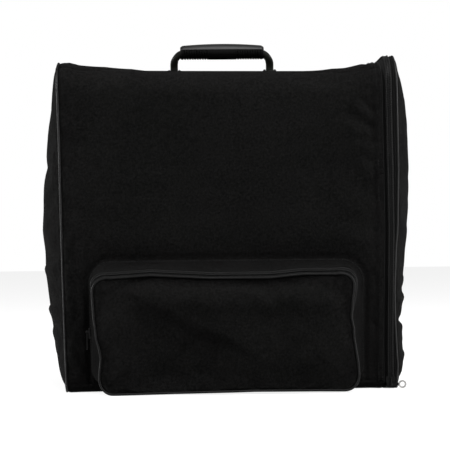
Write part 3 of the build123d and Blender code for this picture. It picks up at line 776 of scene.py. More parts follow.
def wall_lining():
    """The lining of the wall, turned out over the padding's edge at the zip."""
    deep, thin, edge = wall + 1.0 * mm, wall + 0.25 * mm, cloth + 0.3 * mm
    foot, lip, lip_out = tube_left + 1.2 * mm, tube_right + 0.1 * mm, tube_right + 0.7 * mm
    profile = [(x, deep) for x in np.linspace(foot, lip_out, 60)]
    profile += [(lip_out, inset) for inset in np.linspace(deep, edge, 8)[1:]]
    profile += [(lip, inset) for inset in np.linspace(edge, thin, 8)]
    profile += [(x, thin) for x in np.linspace(lip, foot, 60)[1:]]
    places = steps(0, 10, 24)
    rings = []
    for x, inset in profile:
        y, z, ny, nz = section(places, top_at(np.full_like(places, x)), inset)
        ring = xyz(x, y, z)
        if inset == deep and x < tube_right - 8 * mm:
            ring += 0.8 * mm * (waves(ring, 55 * mm, 23) * 0.5)[:, None] * xyz(0.0, ny, nz)
        rings.append(ring)
    faces = grid_faces(len(rings), len(places), wrap_rows=True, wrap_columns=True)
    dress(add_mesh("case_lining", settle(np.array(rings)), faces, lining_cloth), "case", "lining", "wall_lining")


# ---- The two swollen ends ------------------------------------------------------------------------------
# Bulge of each end up its middle, in millimetres: (height, bulge)
left_bulge = [(0, 3), (20, 9), (48, 13), (78, 15.5), (118, 21), (160, 27), (220, 29.5), (262, 27), (330, 18.5),
              (390, 10), (430, 5.5), (452, 2)]
right_bulge = [(0, 6), (20, 14), (48, 16), (90, 14.5), (125, 19), (190, 21), (260, 21.5), (330, 20.5), (390, 17.5),
               (425, 10), (452, 5)]
# Folds of the ends in the plane of y and z, in millimetres
left_folds = [
    ((-112, 184), (-52, 178), 6.0, 3.4), ((-112, 128), (-44, 122), 6.0, 4.0), ((-110, 84), (-60, 92), 6.0, 2.4),
    ((-112, 156), (-70, 152), 5.0, 1.6), ((-90, 300), (60, 320), 12.0, 1.2), ((40, 240), (105, 230), 8.0, 2.4),
    ((30, 130), (108, 140), 6.0, 3.0), ((-60, 40), (80, 46), 8.0, 1.0),
]
right_folds = [
    ((-112, 94), (30, 88), 5.0, 2.6), ((-112, 128), (-50, 134), 5.0, 3.0), ((-110, 58), (-60, 54), 6.0, 2.4),
    ((-110, 150), (-60, 160), 6.0, 2.2), ((-60, 300), (80, 286), 12.0, 1.2), ((0, 220), (100, 236), 9.0, 1.4),
    ((40, 120), (108, 112), 6.0, 2.8),
]
end_low_round, end_high_round = 10.3 * mm, 34.4 * mm
lining_thickness = 0.8 * mm


def rounded_panel(columns, clustering, z, half, low, high, low_round, high_round):
    """A grid over a rounded rectangle: the share of the way across (-1 to 1), the height and half the width."""
    share, z = np.meshgrid(spread(-1, 1, columns, clustering), z)
    return share, z, half_width(z, half, low, high, low_round, high_round)


def from_edge(share, half, z, low, high):
    """Distance from the nearest edge of a rounded_panel, but for its rounding."""
    return np.minimum((1 - np.abs(share)) * half, np.minimum(z - low, high - z))


def end_cushion(name, side, bulge, folds, seed):
    """The swollen padded end: its skin bellies out between the piping, over a flat back."""
    share, z, half = rounded_panel(84, 0.5, spread(piping_low, piping_high, 150, 0.7), piping_half, piping_low,
                                   piping_high, end_low_round, end_high_round)
    y = share * half
    crown = (1 - np.abs(share) ** 2.8) ** 0.62
    ends = np.minimum(z - piping_low, piping_high - z)
    lift = table(z, bulge) * crown * np.clip(ends / (12 * mm), 0, 1) ** 0.5
    flat = xyz(0.0, y, z)
    rough = (1.4 * waves(flat, 120 * mm, seed) + 0.5 * waves(flat, 38 * mm, seed + 1)) * mm
    rough += fold_sum(y, z, folds)
    lift = np.maximum(lift + rough * smooth(lift, 0, 12 * mm), 0)
    outer = xyz(side * (piping_x + 0.6 * mm + lift), y, z)
    inset = 3 * mm
    back_half = half * (piping_half - inset) / piping_half
    middle = (piping_low + piping_high) / 2
    back_z = middle + (z - middle) * (1 - 2 * inset / (piping_high - piping_low))
    inner = xyz(side * (piping_x - 1.5 * mm), share * back_half, back_z)
    return slab(name, rested(settle(outer), (side, 0, 0), 0.4, 0.02, 4 * mm), settle(inner), fabric)


def end_lining(name, x, inset, node, body):
    """The lining of an end at x. The door's stays inside the door's edge, so that it clears the table."""
    low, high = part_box(node)
    share, z, half = rounded_panel(50, 0.5, spread(low.z, high.z, 90, 0.5), high.y, low.z, high.z, 3 * mm,
                                   max(top_radius - inset, 5 * mm))
    inner = xyz(x, share * half, z)
    border = smooth(np.minimum(half - np.abs(share) * half, np.minimum(z - low.z, high.z - z)), 0, 18 * mm)
    swell = lining_thickness + 2.2 * mm * border * (0.8 + 0.35 * waves(inner, 60 * mm, 29))
    outer = settle(inner - np.sign(x) * xyz(swell, 0.0, 0.0))
    inner = settle(inner)
    if x > 0:
        outer[..., 0] = np.minimum(outer[..., 0], x - lining_thickness)
        inner[..., 0] = np.minimum(inner[..., 0], x)
    dress(slab(name, outer, inner, lining_cloth), body, "lining", node)


def ends():
    left = end_cushion("left_end_padding", -1, left_bulge, left_folds, 31)
    dress(left, "case", "outer_fabric", "left_end_panel", "left_end_foam", fill=0.8)
    right = end_cushion("door_padding", 1, right_bulge, right_folds, 37)
    dress(right, "door", "outer_fabric", "door_panel", "door_foam", fill=0.8)
    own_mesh(right)
    end_lining("left_lining", tube_left + 0.3 * mm, 13 * mm, "left_end_lining", "case")
    end_lining("door_lining_cloth", door_edge - 0.2 * mm, 1.5 * mm, "door_lining", "door")
    loop, normal = rounded_loop(-piping_half, piping_half, piping_low, piping_high, end_low_round, end_high_round, 44)
    for name, x, body, node in (("left_cord", -piping_x, "case", "left_piping"),
                                ("door_cord", piping_x, "door", "door_piping")):
        line = (xyz(x, loop[:, 0], loop[:, 1]), xyz(0.0, normal[:, 0], normal[:, 1]),
                np.tile([1.0, 0.0, 0.0], (len(loop), 1)))
        dress(sweep(name, *line, circle(piping_radius), piping_cloth, True), body, "piping", node)


# ---- The main zip --------------------------------------------------------------------------------------
def zip_line(outward=0.0):
    """The line of the main zip: up the front, over the top and down the back."""
    places = np.append(steps(1, 9, 60), 9.0)
    y, z, ny, nz = section(places, np.full_like(places, top_end))
    keep = z >= zip_foot - 0.5 * mm
    points, (normals,) = resample(xyz(zip_middle, y, z)[keep], [xyz(0.0, ny, nz)[keep]], 3 * mm, False)
    normals = unit(normals)
    return points + outward * normals, normals, np.tile([1.0, 0.0, 0.0], (len(points), 1))


def tape_profile(start, end, ribs, groove=0.0):
    """Flat tape from start to end across the zip, with raised woven ribs on its outer face. A groove sinks its
    start, where it comes out from under a hem."""
    top = [(start, -0.1 * mm - groove)]
    if groove:
        top += [(start + 0.42 * (end - start), -groove)]
    for place, width, height in ribs:
        top += [(place - width, 0.0), (place - width / 2, height), (place + width / 2, height),
                (place + width, 0.0)]
    top += [(end, -0.1 * mm)]
    return top + [(end, -cloth), (start + 0.5 * (end - start), -cloth - groove), (start, -cloth - groove)]


def tooth(toward):
    """One tooth of the coil, from its outer loop in to where it hooks past the zip's middle."""
    reach = case_coil[1].x - case_coil[0].x
    low, high = 0.45 * mm, coil_proud - 0.75 * mm
    stations = [(-reach, low, 0.35 * mm), (-reach * 0.93, high * 0.75, 0.62 * mm), (-reach * 0.75, high, 0.7 * mm),
                (-reach * 0.3, high, 0.72 * mm), (0.35 * mm, high * 0.9, 0.78 * mm),
                (0.75 * mm, high * 0.6, 0.5 * mm)]
    form, faces = rod(stations, 6)
    form[:, 0] *= toward
    return form, faces


tooth_pitch = 2.3 * mm
sewing_place, sewing_radius = 2.9 * mm, 0.4 * mm


def coil_half(name, toward, line, pitch, shift, size=1.0):
    points, normals, across = line
    points, (normals, across) = resample(points, [normals, across], pitch, False)
    normals, across = unit(normals), unit(across)
    along = np.cross(normals, across)
    form, faces = tooth(toward)
    return copies(name, form * size, faces, (settle(points + along * (shift * pitch)), across, along, normals),
                  coil_nylon)


def main_zip():
    line = zip_line()
    case_side = tape_profile(case_tape[0].x - zip_middle, case_tape[1].x - zip_middle,
                             [(-4.6 * mm, 0.3 * mm, 0.3 * mm)], 2.4 * mm)
    door_side = tape_profile(door_tape[0].x - zip_middle, door_edge - zip_middle,
                             [(6.4 * mm, 0.5 * mm, 0.35 * mm), (8.0 * mm, 0.45 * mm, 0.35 * mm)])
    for body, profile in (("case", case_side), ("door", door_side)):
        dress(sweep(f"zip_cloth_{body}", *line, profile, tape_cloth, False, 30), body, "zip_tape",
              f"zip_tape_{body}")
    sides = (("case", 1, 0.0), ("door", -1, 0.5))
    for body, toward, shift in sides:
        dress(coil_half(f"zip_teeth_{body}", toward, line, tooth_pitch, shift), body, "zip_coil",
              f"zip_coil_{body}")
    for body, toward, _ in sides:
        ridge = circle(sewing_radius, 6, (-toward * sewing_place, coil_proud - 0.25 * mm))
        dress(sweep(f"zip_sewing_{body}", *line, ridge, thread, False), body, "zip_coil")


def hinge_cloth():
    """The strip under the door, where the door folds down."""
    half = half_depth - 0.6 * mm
    x, y = np.meshgrid(np.linspace(tube_right + 0.2 * mm, piping_x - 0.4 * mm, 26), spread(-half, half, 70, 0.4))
    curl = smooth(np.abs(y), half - bottom_radius, half)
    outer = xyz(x, y, 0.15 * mm + (zip_foot - 0.8 * mm) * curl ** 2)
    piece = slab("hinge_fold", settle(outer), settle(outer + np.array([0, 0, cloth * 0.8])), fabric)
    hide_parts("hinge_strip")
    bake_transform(piece)


def ring_pull():
    """The main slider's pull in the frame's own shape: black plate, pale ring."""
    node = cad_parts["main_pull"]
    mesh = node.data.copy()
    mesh.transform(node.matrix_world)
    mesh.materials.clear()
    for material in (black_metal, nickel):
        mesh.materials.append(material)
    low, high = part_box("main_pull")
    for face in mesh.polygons:
        face.material_index = int(face.center.x > low.x + 0.45 * (high.x - low.x))
    shade(mesh, hard_edge)
    dress(link("ring_pull", mesh), "main_pull_body", "nickel", "main_pull")


# ---- The front pocket ----------------------------------------------------------------------------------
def pocket_loop(depth_share):
    """The pocket's outline from its base on the front panel (0) to its mouth (1)."""
    base, normal = rounded_loop(gusset_low.x, gusset_high.x, pocket_base_low, gusset_high.z,
                                mouth_bottom_round, pocket_base_round)
    mouth, _ = rounded_loop(mouth_left, mouth_right, mouth_low, mouth_high, mouth_bottom_round, mouth_top_round)
    return base + (mouth - base) * depth_share, normal


def mouth_line(depth, inset=0.0, spacing=3 * mm):
    """Points, outward normals and forward directions round the mouth at a depth in front of the middle."""
    loop, normal = rounded_loop(mouth_left + inset, mouth_right - inset, mouth_low + inset, mouth_high - inset,
                                mouth_bottom_round - inset, mouth_top_round - inset)
    return dense(standing(loop, normal, -depth, -1.0), spacing)


def pocket_sides():
    """The pocket's gusset: cloth with painted shade from the front panel out to the zip, sunk a little between its
    seams.
    """
    outer, inner = [], []
    for share in np.linspace(0, 1, 18):
        loop, normal = pocket_loop(share)
        depth = half_depth + share * (mouth_back - half_depth) - 0.3 * mm * (share == 0)
        ring = xyz(loop[:, 0], -depth, loop[:, 1])
        relief = math.sin(math.pi * share) * (-1.6 + 0.9 * waves(ring, 46 * mm, 41)) * mm
        level_foot = np.where(loop[:, 1] < pocket_base_low + 4 * mm, 0.2, 1.0)
        ring += xyz(normal[:, 0] * relief, 0.0, normal[:, 1] * relief * level_foot)
        outer.append(ring)
        inner.insert(0, ring - cloth * xyz(normal[:, 0], 0.0, normal[:, 1]))
    grid = np.array(outer + inner)
    faces = grid_faces(*grid.shape[:2], wrap_rows=True, wrap_columns=True)
    dress(add_mesh("pocket_sides", settle(grid), faces, shaded_gusset_cloth), "case", "outer_fabric", "pocket_gusset")


def dense(line, spacing):
    points, normals, forward = line
    points, (normals, forward) = resample(points, [normals, forward], spacing, True)
    return points, unit(normals), unit(forward)


def split_band(line, low, high):
    """The part of a closed line between two heights, as an open line, in order."""
    points, normals, forward = line
    inside = (points[:, 2] >= low) & (points[:, 2] <= high)
    first = int(np.argmax(inside & ~np.roll(inside, 1)))
    order = (np.arange(len(points)) + first) % len(points)
    order = order[inside[order]]
    return points[order], normals[order], forward[order]


def fold_blend(piece, slot, *nodes):
    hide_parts(*nodes)
    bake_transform(piece)


pocket_tooth_size = 0.56
pocket_tooth_pitch = 1.5 * mm
very_high = 1.0                  # past everything, as a limit for split_band


def pocket_zip():
    """Tape and teeth round the pocket: the back half stays, the front half folds with the flap."""
    middle = (mouth_back + mouth_front) / 2
    line = mouth_line(middle)
    upper = split_band(line, fold_z, very_high)
    half_gap, rib, rib_width = 0.2 * mm, 4.1 * mm, 0.35 * mm
    back = tape_profile(mouth_back - middle, -half_gap, [(-rib, rib_width, 0.15 * mm)])
    front = tape_profile(half_gap, mouth_front - middle, [(rib, rib_width, 0.3 * mm)])
    for side, profile, body, node in (("back", back, "case", "pocket_zip_tape"),
                                      ("front", front, "pocket_flap", "flap_zip_tape")):
        dress(sweep(f"pocket_cloth_{side}", *upper, profile, tape_cloth, False, 30), body, "zip_tape", node)
    lower = tape_profile(mouth_back - middle, mouth_front - middle, [])
    dress(sweep("pocket_cloth_lower", *split_band(line, -very_high, fold_z), lower, fabric, False, 30), "case",
          "outer_fabric")
    edge = split_band(mouth_line(mouth_back - 1.2 * mm), fold_z, very_high)
    dress(sweep("mouth_welt", *edge, circle(0.8 * mm, 8, (0, 0.2 * mm)), pocket_cord_cloth, False), "case", "piping")
    edge = split_band(mouth_line(mouth_front - 0.6 * mm), mouth_high - 12 * mm, very_high)
    flange = mm * np.array([(0, 0.1), (1.6, 0.9), (3.6, 0.5), (3.5, -0.1), (1.6, 0.3), (0, -0.4)])
    dress(sweep("cord_flange", *edge, flange, fabric, False, 40), "pocket_flap", "outer_fabric")
    for side, toward, shift, body, node in (("back", 1, 0.0, "case", "pocket_zip_coil"),
                                            ("front", -1, 0.5, "pocket_flap", "flap_zip_coil")):
        teeth = coil_half(f"pocket_teeth_{side}", toward, upper, pocket_tooth_pitch, shift, pocket_tooth_size)
        dress(teeth, body, "zip_coil", node)


# Line over which the face steps down to the lower left, in millimetres: (x, z) from its upper end
face_step = [(-150, 152), (-118, 132), (-96, 112), (-70, 98), (-38, 84), (-10, 72), (24, 52), (60, 30)]
# Folds of the pocket's face in millimetres: (start x, z), (end x, z), width, depth
face_folds = [
    ((84, 62), (150, 94), 12.0, 1.2), ((60, 40), (84, 60), 10.0, 0.9), ((-164, 74), (-168, 30), 8.0, 1.2),
    ((118, 142), (156, 128), 7.0, 1.0), ((-40, 132), (60, 128), 9.0, 0.8),
]


def step_side(x, z):
    """Signed distance from the face's step: positive above it and to its right."""
    ends = np.array(face_step) * mm
    best = np.full_like(x, 1.0)
    for (ax, az), (bx, bz) in zip(ends[:-1], ends[1:]):
        length = math.hypot(bx - ax, bz - az)
        along = np.clip(((x - ax) * (bx - ax) + (z - az) * (bz - az)) / length ** 2, 0, 1)
        distance = np.hypot(x - ax - along * (bx - ax), z - az - along * (bz - az))
        side = np.sign((bx - ax) * (z - az) - (bz - az) * (x - ax))
        best = np.where(distance < np.abs(best), side * distance, best)
    return best


def face_relief(flat):
    """How far the pocket's face stands proud of its piping."""
    x, z = flat[..., 0], flat[..., 2]
    side = np.minimum(x - mouth_left, mouth_right - x)
    below_top = mouth_high - z
    edge = np.minimum(side, np.minimum(below_top, z - mouth_low))
    puff = 4.6 * mm * smooth(edge, 0, 50 * mm)
    tuck = -3.8 * mm * near(below_top - 11 * mm, 9 * mm) * smooth(side, 24 * mm, 80 * mm)
    swell = 3.4 * mm * near(below_top - 36 * mm, 15 * mm) * smooth(x, -130 * mm, -30 * mm) * (
        1 - smooth(x, 110 * mm, 160 * mm))
    reach = smooth(x, -150 * mm, -112 * mm) * (1 - smooth(x, -30 * mm, 60 * mm))
    step = 8.5 * mm * (smooth(step_side(x, z) + 2.5 * mm * waves(flat, 60 * mm, 71), -13 * mm, 7 * mm) - 0.5) * reach
    drift = (0.9 * waves(flat, 90 * mm, 53) + 0.35 * waves(flat, 30 * mm, 54)) * mm
    return (puff + tuck + swell + (drift + step) * smooth(edge, 0, 25 * mm)
            + fold_sum(x, z, face_folds) * smooth(edge, 2 * mm, 16 * mm))


def pocket_face():
    inset = 2.0 * mm
    left, right = mouth_left + inset, mouth_right - inset
    low, high = mouth_low + inset, mouth_high - inset
    z = np.unique(np.append(spread(low, high, 120, 0.6), fold_z))
    share, z, half = rounded_panel(190, 0.35, z, (right - left) / 2, low, high, mouth_bottom_round - inset,
                                   mouth_top_round - inset)
    flat = xyz((left + right) / 2 + share * half, pocket_piping_y, z)
    relief = face_relief(flat) - seam_pull * near(from_edge(share, half, z, low, high), 1.8 * mm)
    outer = rested(settle(flat - xyz(0.0, relief, 0.0)), (0, -1, 0), 0.3, 0.01, 3 * mm)
    fold_blend(slab("pocket_face", outer, outer + np.array([0, cloth, 0]), fabric), "outer_fabric",
               "flap_panel", "pocket_lower_face")


def pocket():
    pocket_sides()
    pocket_zip()
    pocket_face()
    line = mouth_line(-pocket_piping_y, 0.6 * mm, 2.5 * mm)
    fold_blend(sweep("pocket_cord", *line, circle(piping_radius), pocket_cord_cloth, True), "piping",
               "flap_piping", "pocket_lower_piping")


# ---- Stitching -----------------------------------------------------------------------------------------
hem_stitch_rows = [(2.2 * mm, 1.3 * mm), (7.2 * mm, 1.5 * mm)]       # distance from the end, height on the cloth
welt_proud, base_row_proud, door_row_inset = 1.2 * mm, 2.2 * mm, 1.6 * mm


def wall_line(x, outward):
    """A line round the wall at x, from foot to foot over the top."""
    places = np.append(steps(2, 8, 60), 8.0)
    y, z, ny, nz = section(places, top_at(np.full_like(places, x)), -outward)
    return settle(xyz(x, y, z)), xyz(0.0, ny, nz), False


def sewing():
    """The turned seam where the pocket's sides meet the front, and the rows of stitches."""
    welt = dense(standing(*pocket_loop(0.03), -half_depth - welt_proud, -1.0), 3 * mm)
    dress(sweep("pocket_welt", *welt, circle(1.0 * mm, 8), fabric, True), "case", "outer_fabric")
    hem_rows = [wall_line(tube_right - from_end, proud) for from_end, proud in hem_stitch_rows]
    dress(stitches("hem_stitches", hem_rows, thread), "case", "piping")
    points, normals, forward = standing(*pocket_loop(0.05), -half_depth - base_row_proud, -1.0)
    base_row = (settle(points), normals + 0.6 * forward, True)
    dress(stitches("pocket_base_stitches", [base_row], thread), "case", "piping")
    points, normals, across = zip_line(0.1 * mm)
    door_row = (settle(points + across * (door_edge - zip_middle - door_row_inset)), normals, False)
    dress(stitches("door_stitches", [door_row], thread), "door", "piping")


# ---- Shoulder straps on the back -----------------------------------------------------------------------
strap_low_round, strap_high_round = 17 * mm, 3 * mm
channel_depth, channel_place = 2.6 * mm, 13 * mm
binding_size = np.array([1.6 * mm, 1.3 * mm])


def strap_cushion(side_name):
    """A padded shoulder strap with two sewn channels and a woven binding round its edge."""
    node = f"strap_pad_{side_name}"
    low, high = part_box(node)
    share, z, half = rounded_panel(40, 0.6, spread(low.z, high.z, 120, 0.6), (high.x - low.x) / 2 - 1.2 * mm,
                                   low.z, high.z, strap_low_round, strap_high_round)
    flat = xyz((low.x + high.x) / 2 + share * half, low.y, z)
    edge = from_edge(share, half, z, low.z, high.z)
    thick = (high.y - low.y - 1.0 * mm) * (1 - np.exp(-edge / (5.5 * mm)))
    channel = -channel_depth * near(np.abs(share) * half - channel_place, 2.0 * mm) * smooth(edge, 6 * mm, 12 * mm)
    rough = 0.5 * mm * waves(flat, 40 * mm, 61) * smooth(edge, 0, 12 * mm)
    outer = flat + xyz(0.0, 1.4 * mm + thick + channel + rough, 0.0)
    dress(slab(f"shoulder_pad_{side_name}", outer, flat, fabric), "case", "outer_fabric", node, fill=0.7)
    loop = rounded_loop(low.x + 1.4 * mm, high.x - 1.4 * mm, low.z + 1.0 * mm, high.z - 1.0 * mm,
                        strap_low_round, strap_high_round, 30, 10)
    line = standing(*loop, low.y + 1.8 * mm, 1.0)
    dress(sweep(f"pad_binding_{side_name}", *line, circle(1.0, 10) * binding_size, webbing_cloth, True), "case",
          "webbing")


def flat_cloth(name, node, material, slot, taper=0.0):
    """A flat strip of webbing or cloth with rounded selvedges, standing on the back."""
    low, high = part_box(node)
    rows = max(int((high.z - low.z) / (4 * mm)), 4)
    share, z = np.meshgrid(np.linspace(-1, 1, 21), np.linspace(low.z, high.z, rows))
    half = (high.x - low.x) / 2 * (1 - taper * smooth(z, low.z, high.z))
    flat = xyz((low.x + high.x) / 2 + share * half, low.y, z)
    outer = flat + xyz(0.0, (high.y - low.y) * (1 - 0.5 * np.abs(share) ** 8), 0.0)
    dress(slab(name, outer, flat, material), "case", slot, node)
    return low, high


def box_stitches(left, right, low, high, inset):
    """A square of stitching with its two diagonals, on the face of a strip that looks back."""
    x0, x1, z0, z1 = left + inset, right - inset, low.z + inset, high.z - inset
    corners = xyz(np.array([x0, x1, x1, x0, x0, x1, x0, x1]), high.y + 0.1 * mm,
                  np.array([z0, z0, z1, z1, z0, z1, z1, z0]))
    back = np.tile([0.0, 1.0, 0.0], (2, 1))
    return [(corners[k:k + 2], back, False) for k in range(len(corners) - 1)]


def straps():
    lines = []
    for name in ("left", "right"):
        strap_cushion(name)
        flat_cloth(f"webbing_{name}", f"strap_webbing_{name}", webbing_cloth, "webbing")
        low, high = flat_cloth(f"tab_{name}", f"strap_tab_{name}", fabric, "outer_fabric", taper=0.5)
        lines += box_stitches(low.x + 12 * mm, high.x - 12 * mm, low, high, 3 * mm)
    low, high = flat_cloth("cross_patch", "strap_patch", fabric, "outer_fabric")
    for side in (-1, 1):
        middle = (low.x + high.x) / 2 + side * (high.x - low.x) * 0.46
        lines += box_stitches(middle - 7 * mm, middle + 7 * mm, low, high, 2.5 * mm)
    dress(stitches("strap_stitches", lines, thread), "case", "webbing")


# ---- The handle ----------------------------------------------------------------------------------------
pivot_z = (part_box("handle_pins")[0].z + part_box("handle_pins")[1].z) / 2
bow_low, bow_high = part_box("handle_bow")
grip_low, grip_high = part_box("handle_grip")
handle_x = (bow_low.x + bow_high.x) / 2
grip_z = (grip_low.z + grip_high.z) / 2 - 1.2 * mm
leg_half, foot_half, bar_half_width = 5.4 * mm, pivot_z - bow_low.z, bow_high.y
bow_half_span = (bow_high.x - bow_low.x) / 2 - leg_half
bar_z = grip_z - 1.8 * mm
bend = 17 * mm
grip_half_length, grip_end_round, grip_rib_pitch = 59 * mm, 3.5 * mm, 3.6 * mm


def squarish(wave):
    """Turns a sine or cosine into the outline of a rounded square."""
    return np.sign(wave) * np.abs(wave) ** 0.62


def bow():
    """The moulded bow: an eye round each pin, legs that widen upward, and the bar inside the grip."""
    rise = np.linspace(pivot_z + foot_half * 0.75, bar_z - bend, 14)
    leg = [(bow_half_span, z, 0.0) for z in rise]
    corner = [(bow_half_span - bend * (1 - math.cos(a)), bar_z - bend * (1 - math.sin(a)), a)
              for a in np.radians(np.linspace(0, 90, 14))[1:]]
    right = np.array(leg + corner)
    line = np.vstack([right, right[::-1] * np.array([-1, 1, -1]) + np.array([0, 0, math.pi])])
    x, z, turn = line.T[..., None]
    half_y = foot_half + (bar_half_width - foot_half) * smooth(z - pivot_z, 4 * mm, 25 * mm)
    half_t = leg_half * (1 - 0.12 * smooth(z - pivot_z, 14 * mm, 2 * mm + bend))
    angles = np.linspace(0, 2 * math.pi, 28, endpoint=False)
    thick = squarish(np.sin(angles))
    rings = xyz(handle_x + x + np.cos(turn) * thick * half_t, squarish(np.cos(angles)) * half_y,
                z + np.sin(turn) * thick * half_t)
    faces = tube_faces(*rings.shape[:2])
    verts = [rings.reshape(-1, 3)]
    for side in (-1, 1):
        eye, eye_faces = eye_tube(handle_x + side * bow_half_span)
        start = sum(len(part) for part in verts)
        verts.append(eye)
        faces += [[v + start for v in face] for face in eye_faces]
    dress(add_mesh("bow", np.vstack(verts), faces, leather), "handle", "handle_leather", "handle_bow")


def eye_tube(x):
    """The eye at a leg's foot, open round its pin."""
    angles = np.linspace(0, 2 * math.pi, 32, endpoint=False)
    bore, bevel = 1.7 * mm, 0.4 * mm
    corners = [(-leg_half, bore), (-leg_half, foot_half - bevel), (-leg_half + bevel, foot_half),
               (leg_half - bevel, foot_half), (leg_half, foot_half - bevel), (leg_half, bore)]
    place, radius = np.array(corners).T[..., None]
    form = xyz(x + place, radius * np.cos(angles), pivot_z + radius * np.sin(angles))
    return form.reshape(-1, 3), grid_faces(*form.shape[:2], wrap_rows=True, wrap_columns=True)


def grip_section(turn, share):
    """y and z of the grip round its middle at a turn from its top, share of the way to either end."""
    half_y, over, under = 14.6 * mm, 8.4 * mm, 11.4 * mm
    ends = np.clip((1 - np.abs(share)) * grip_half_length / grip_end_round, 0, 1)
    shrink = 1.6 * mm * (1 - np.sqrt(1 - (1 - ends) ** 2))
    round_y = np.sign(np.sin(turn)) * np.abs(np.sin(turn)) ** 0.9
    up = np.cos(turn)
    crown = (2.6 * (1 - share ** 2) - 1.1) * mm * smooth(up, 0, 1)
    z = grip_z + np.where(up > 0, up * (over - shrink), up * (under - shrink)) + crown
    return round_y * (half_y - shrink), z


grip_lines = (-0.5, 0.0, 0.5, -0.95, 0.95)    # radians from the underside's middle
grip_rib_depth, grip_line_depth = 1.25 * mm, 0.35 * mm


def grip():
    """The rubber grip: cross ribs out to both ends, and a smooth middle with five fine lines along it."""
    turn, share = np.meshgrid(np.linspace(0, 2 * math.pi, 72, endpoint=False), np.linspace(-1, 1, 420))
    place = share * 59.2 * mm
    y, z = grip_section(turn, share)
    lower = smooth(-np.cos(turn), -0.25, 0.25)
    outer_part = smooth(np.abs(place), 18.0 * mm, 19.0 * mm) * (1 - smooth(np.abs(place), 56 * mm, 57.5 * mm))
    rib = np.clip(1.6 * np.cos(place / grip_rib_pitch * 2 * math.pi) - 0.3, 0, 1)
    lines = sum(near(turn - math.pi - a, 0.05) for a in grip_lines)
    sunk = grip_rib_depth * rib * outer_part * lower + grip_line_depth * lines * (1 - outer_part)
    rings = xyz(handle_x + place, y - np.sin(turn) * sunk, z - np.cos(turn) * sunk)
    dress(add_mesh("grip", rings, tube_faces(*rings.shape[:2]), rubber, 50), "handle", "grip_rubber", "handle_grip")


cap_screws = (-0.52, -0.40, 0.10, 0.22)       # shares of the way from the middle to an end


def grip_cap():
    """The smooth moulded cap over the grip, with four small sunk screws."""
    half_length, half_turn = 58 * mm, 86
    share, turn = np.meshgrid(spread(-1, 1, 160, 0.3), np.radians(np.linspace(-half_turn, half_turn, 60)))
    place = share * half_length
    y, z = grip_section(turn, share)
    ends = np.clip((1 - np.abs(share)) * half_length / (1.5 * mm), 0, 1)
    sides = np.clip((math.radians(half_turn) - np.abs(turn)) / math.radians(8), 0, 1)
    proud = 0.8 * mm * np.sqrt(1 - (1 - ends * sides) ** 2)
    for screw in cap_screws:
        proud = proud - 0.9 * mm * (1 - smooth(np.hypot(place - screw * half_length, y), 1.0 * mm, 1.8 * mm))
    outer, inner = [xyz(handle_x + place, y + np.sin(turn) * out, z + np.cos(turn) * out)
                    for out in (proud, -1.4 * mm)]
    dress(slab("grip_cap", outer, inner, cap_plastic), "handle", "grip_rubber")


# ---- Stage, light and camera ---------------------------------------------------------------------------
white = (1.0, 1.0, 1.0, 1.0)
floor_glow, floor_glow_share = 1.16, 0.72
world_light = 0.15               # strength of the white world on the object; the camera sees it at 1
# Name, place, point aimed at, size and watts
lamps = [("over", (0.6, -1.35, 2.1), (0, 0, 0.22), 1.9, 86),
         ("left", (-2.6, -0.35, 0.8), (-0.1, 0, 0.22), 1.0, 105),
         ("right", (2.6, -0.35, 0.8), (0.1, 0, 0.22), 1.0, 70)]


def stage_material():
    """White floor: it shows its own light soft shadow, and otherwise reads as the white backdrop."""
    look = Finish("white_floor", Roughness=0.9)
    glow = look.add("ShaderNodeEmission", {"Color": white, "Strength": floor_glow})
    path = look.add("ShaderNodeLightPath")
    seen = look.math("MAXIMUM", path.outputs["Is Camera Ray"], path.outputs["Is Glossy Ray"])
    look.put(look.shader.inputs["Base Color"], look.blend(seen, grey(0.22), grey(0.92)))
    share = look.math("MULTIPLY", seen, floor_glow_share)
    mix = look.add("ShaderNodeMixShader", {0: share, 1: look.shader.outputs[0], 2: glow.outputs[0]})
    look.put(look.tree.nodes["Material Output"].inputs["Surface"], mix.outputs[0])
    return look.material


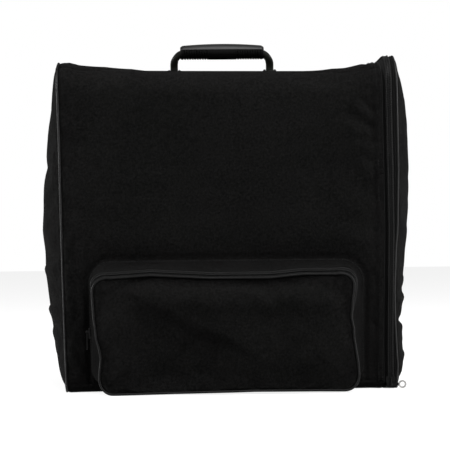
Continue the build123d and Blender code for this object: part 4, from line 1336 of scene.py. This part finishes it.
def studio():
    size, drop = 6.0, 0.2 * mm
    corners = [(-size, -size, -drop), (size, -size, -drop), (size, size, -drop), (-size, size, -drop)]
    add_mesh("floor", corners, [[0, 1, 2, 3]], stage_material())
    world = bpy.data.worlds.new("studio")
    bpy.context.scene.world = world
    world.use_nodes = True
    nodes, links = world.node_tree.nodes, world.node_tree.links
    background = nodes["Background"]
    background.inputs["Color"].default_value = white
    path = nodes.new("ShaderNodeLightPath")
    seen = nodes.new("ShaderNodeMath")
    seen.operation = "MAXIMUM"
    strength = nodes.new("ShaderNodeMapRange")
    strength.inputs["To Min"].default_value = world_light
    strength.inputs["To Max"].default_value = 1.0
    for output, socket in ((path.outputs["Is Camera Ray"], seen.inputs[0]),
                           (path.outputs["Is Transmission Ray"], seen.inputs[1]),
                           (seen.outputs[0], strength.inputs["Value"]),
                           (strength.outputs[0], background.inputs["Strength"])):
        links.new(output, socket)
    for values in lamps:
        lamp(*values)


def lamp(name, place, target, size, watts):
    data = bpy.data.lights.new(name, "AREA")
    data.energy, data.size = watts, size
    light = link(name, data)
    light.location = place
    light.rotation_euler = (Vector(target) - Vector(place)).to_track_quat("-Z", "Y").to_euler()


camera_place = (-0.0882, -2.315, 0.225)
camera_yaw, camera_roll = math.radians(-2.15), math.radians(-0.6)
camera_lens, sensor = 130.0, 36.0


def photograph_camera():
    data = bpy.data.cameras.new("camera")
    data.lens, data.sensor_width = camera_lens, sensor
    data.clip_start, data.clip_end = 0.05, 50.0
    camera = link("camera", data)
    turn = (Matrix.Rotation(camera_yaw, 4, "Z") @ Matrix.Rotation(math.pi / 2, 4, "X")
            @ Matrix.Rotation(camera_roll, 4, "Z"))
    camera.matrix_world = Matrix.Translation(camera_place) @ turn
    bpy.context.scene.camera = camera


# ---- Assembly ------------------------------------------------------------------------------------------
photograph_camera()
studio()
wall_panels()
wall_lining()
ends()
main_zip()
hinge_cloth()
pocket()
sewing()
straps()
bow()
grip()
grip_cap()
paint(black_metal, "handle_brackets", "handle_pins", "handle_rivets", "handle_backing_plate", "main_slider",
      "pocket_slider")
ring_pull()
paint(pull_cord, "pocket_pull")
paint(buckle, "strap_adjuster_left", "strap_adjuster_right")
paint(board, "base_board")
bpy.context.scene.view_settings.view_transform = "Standard"
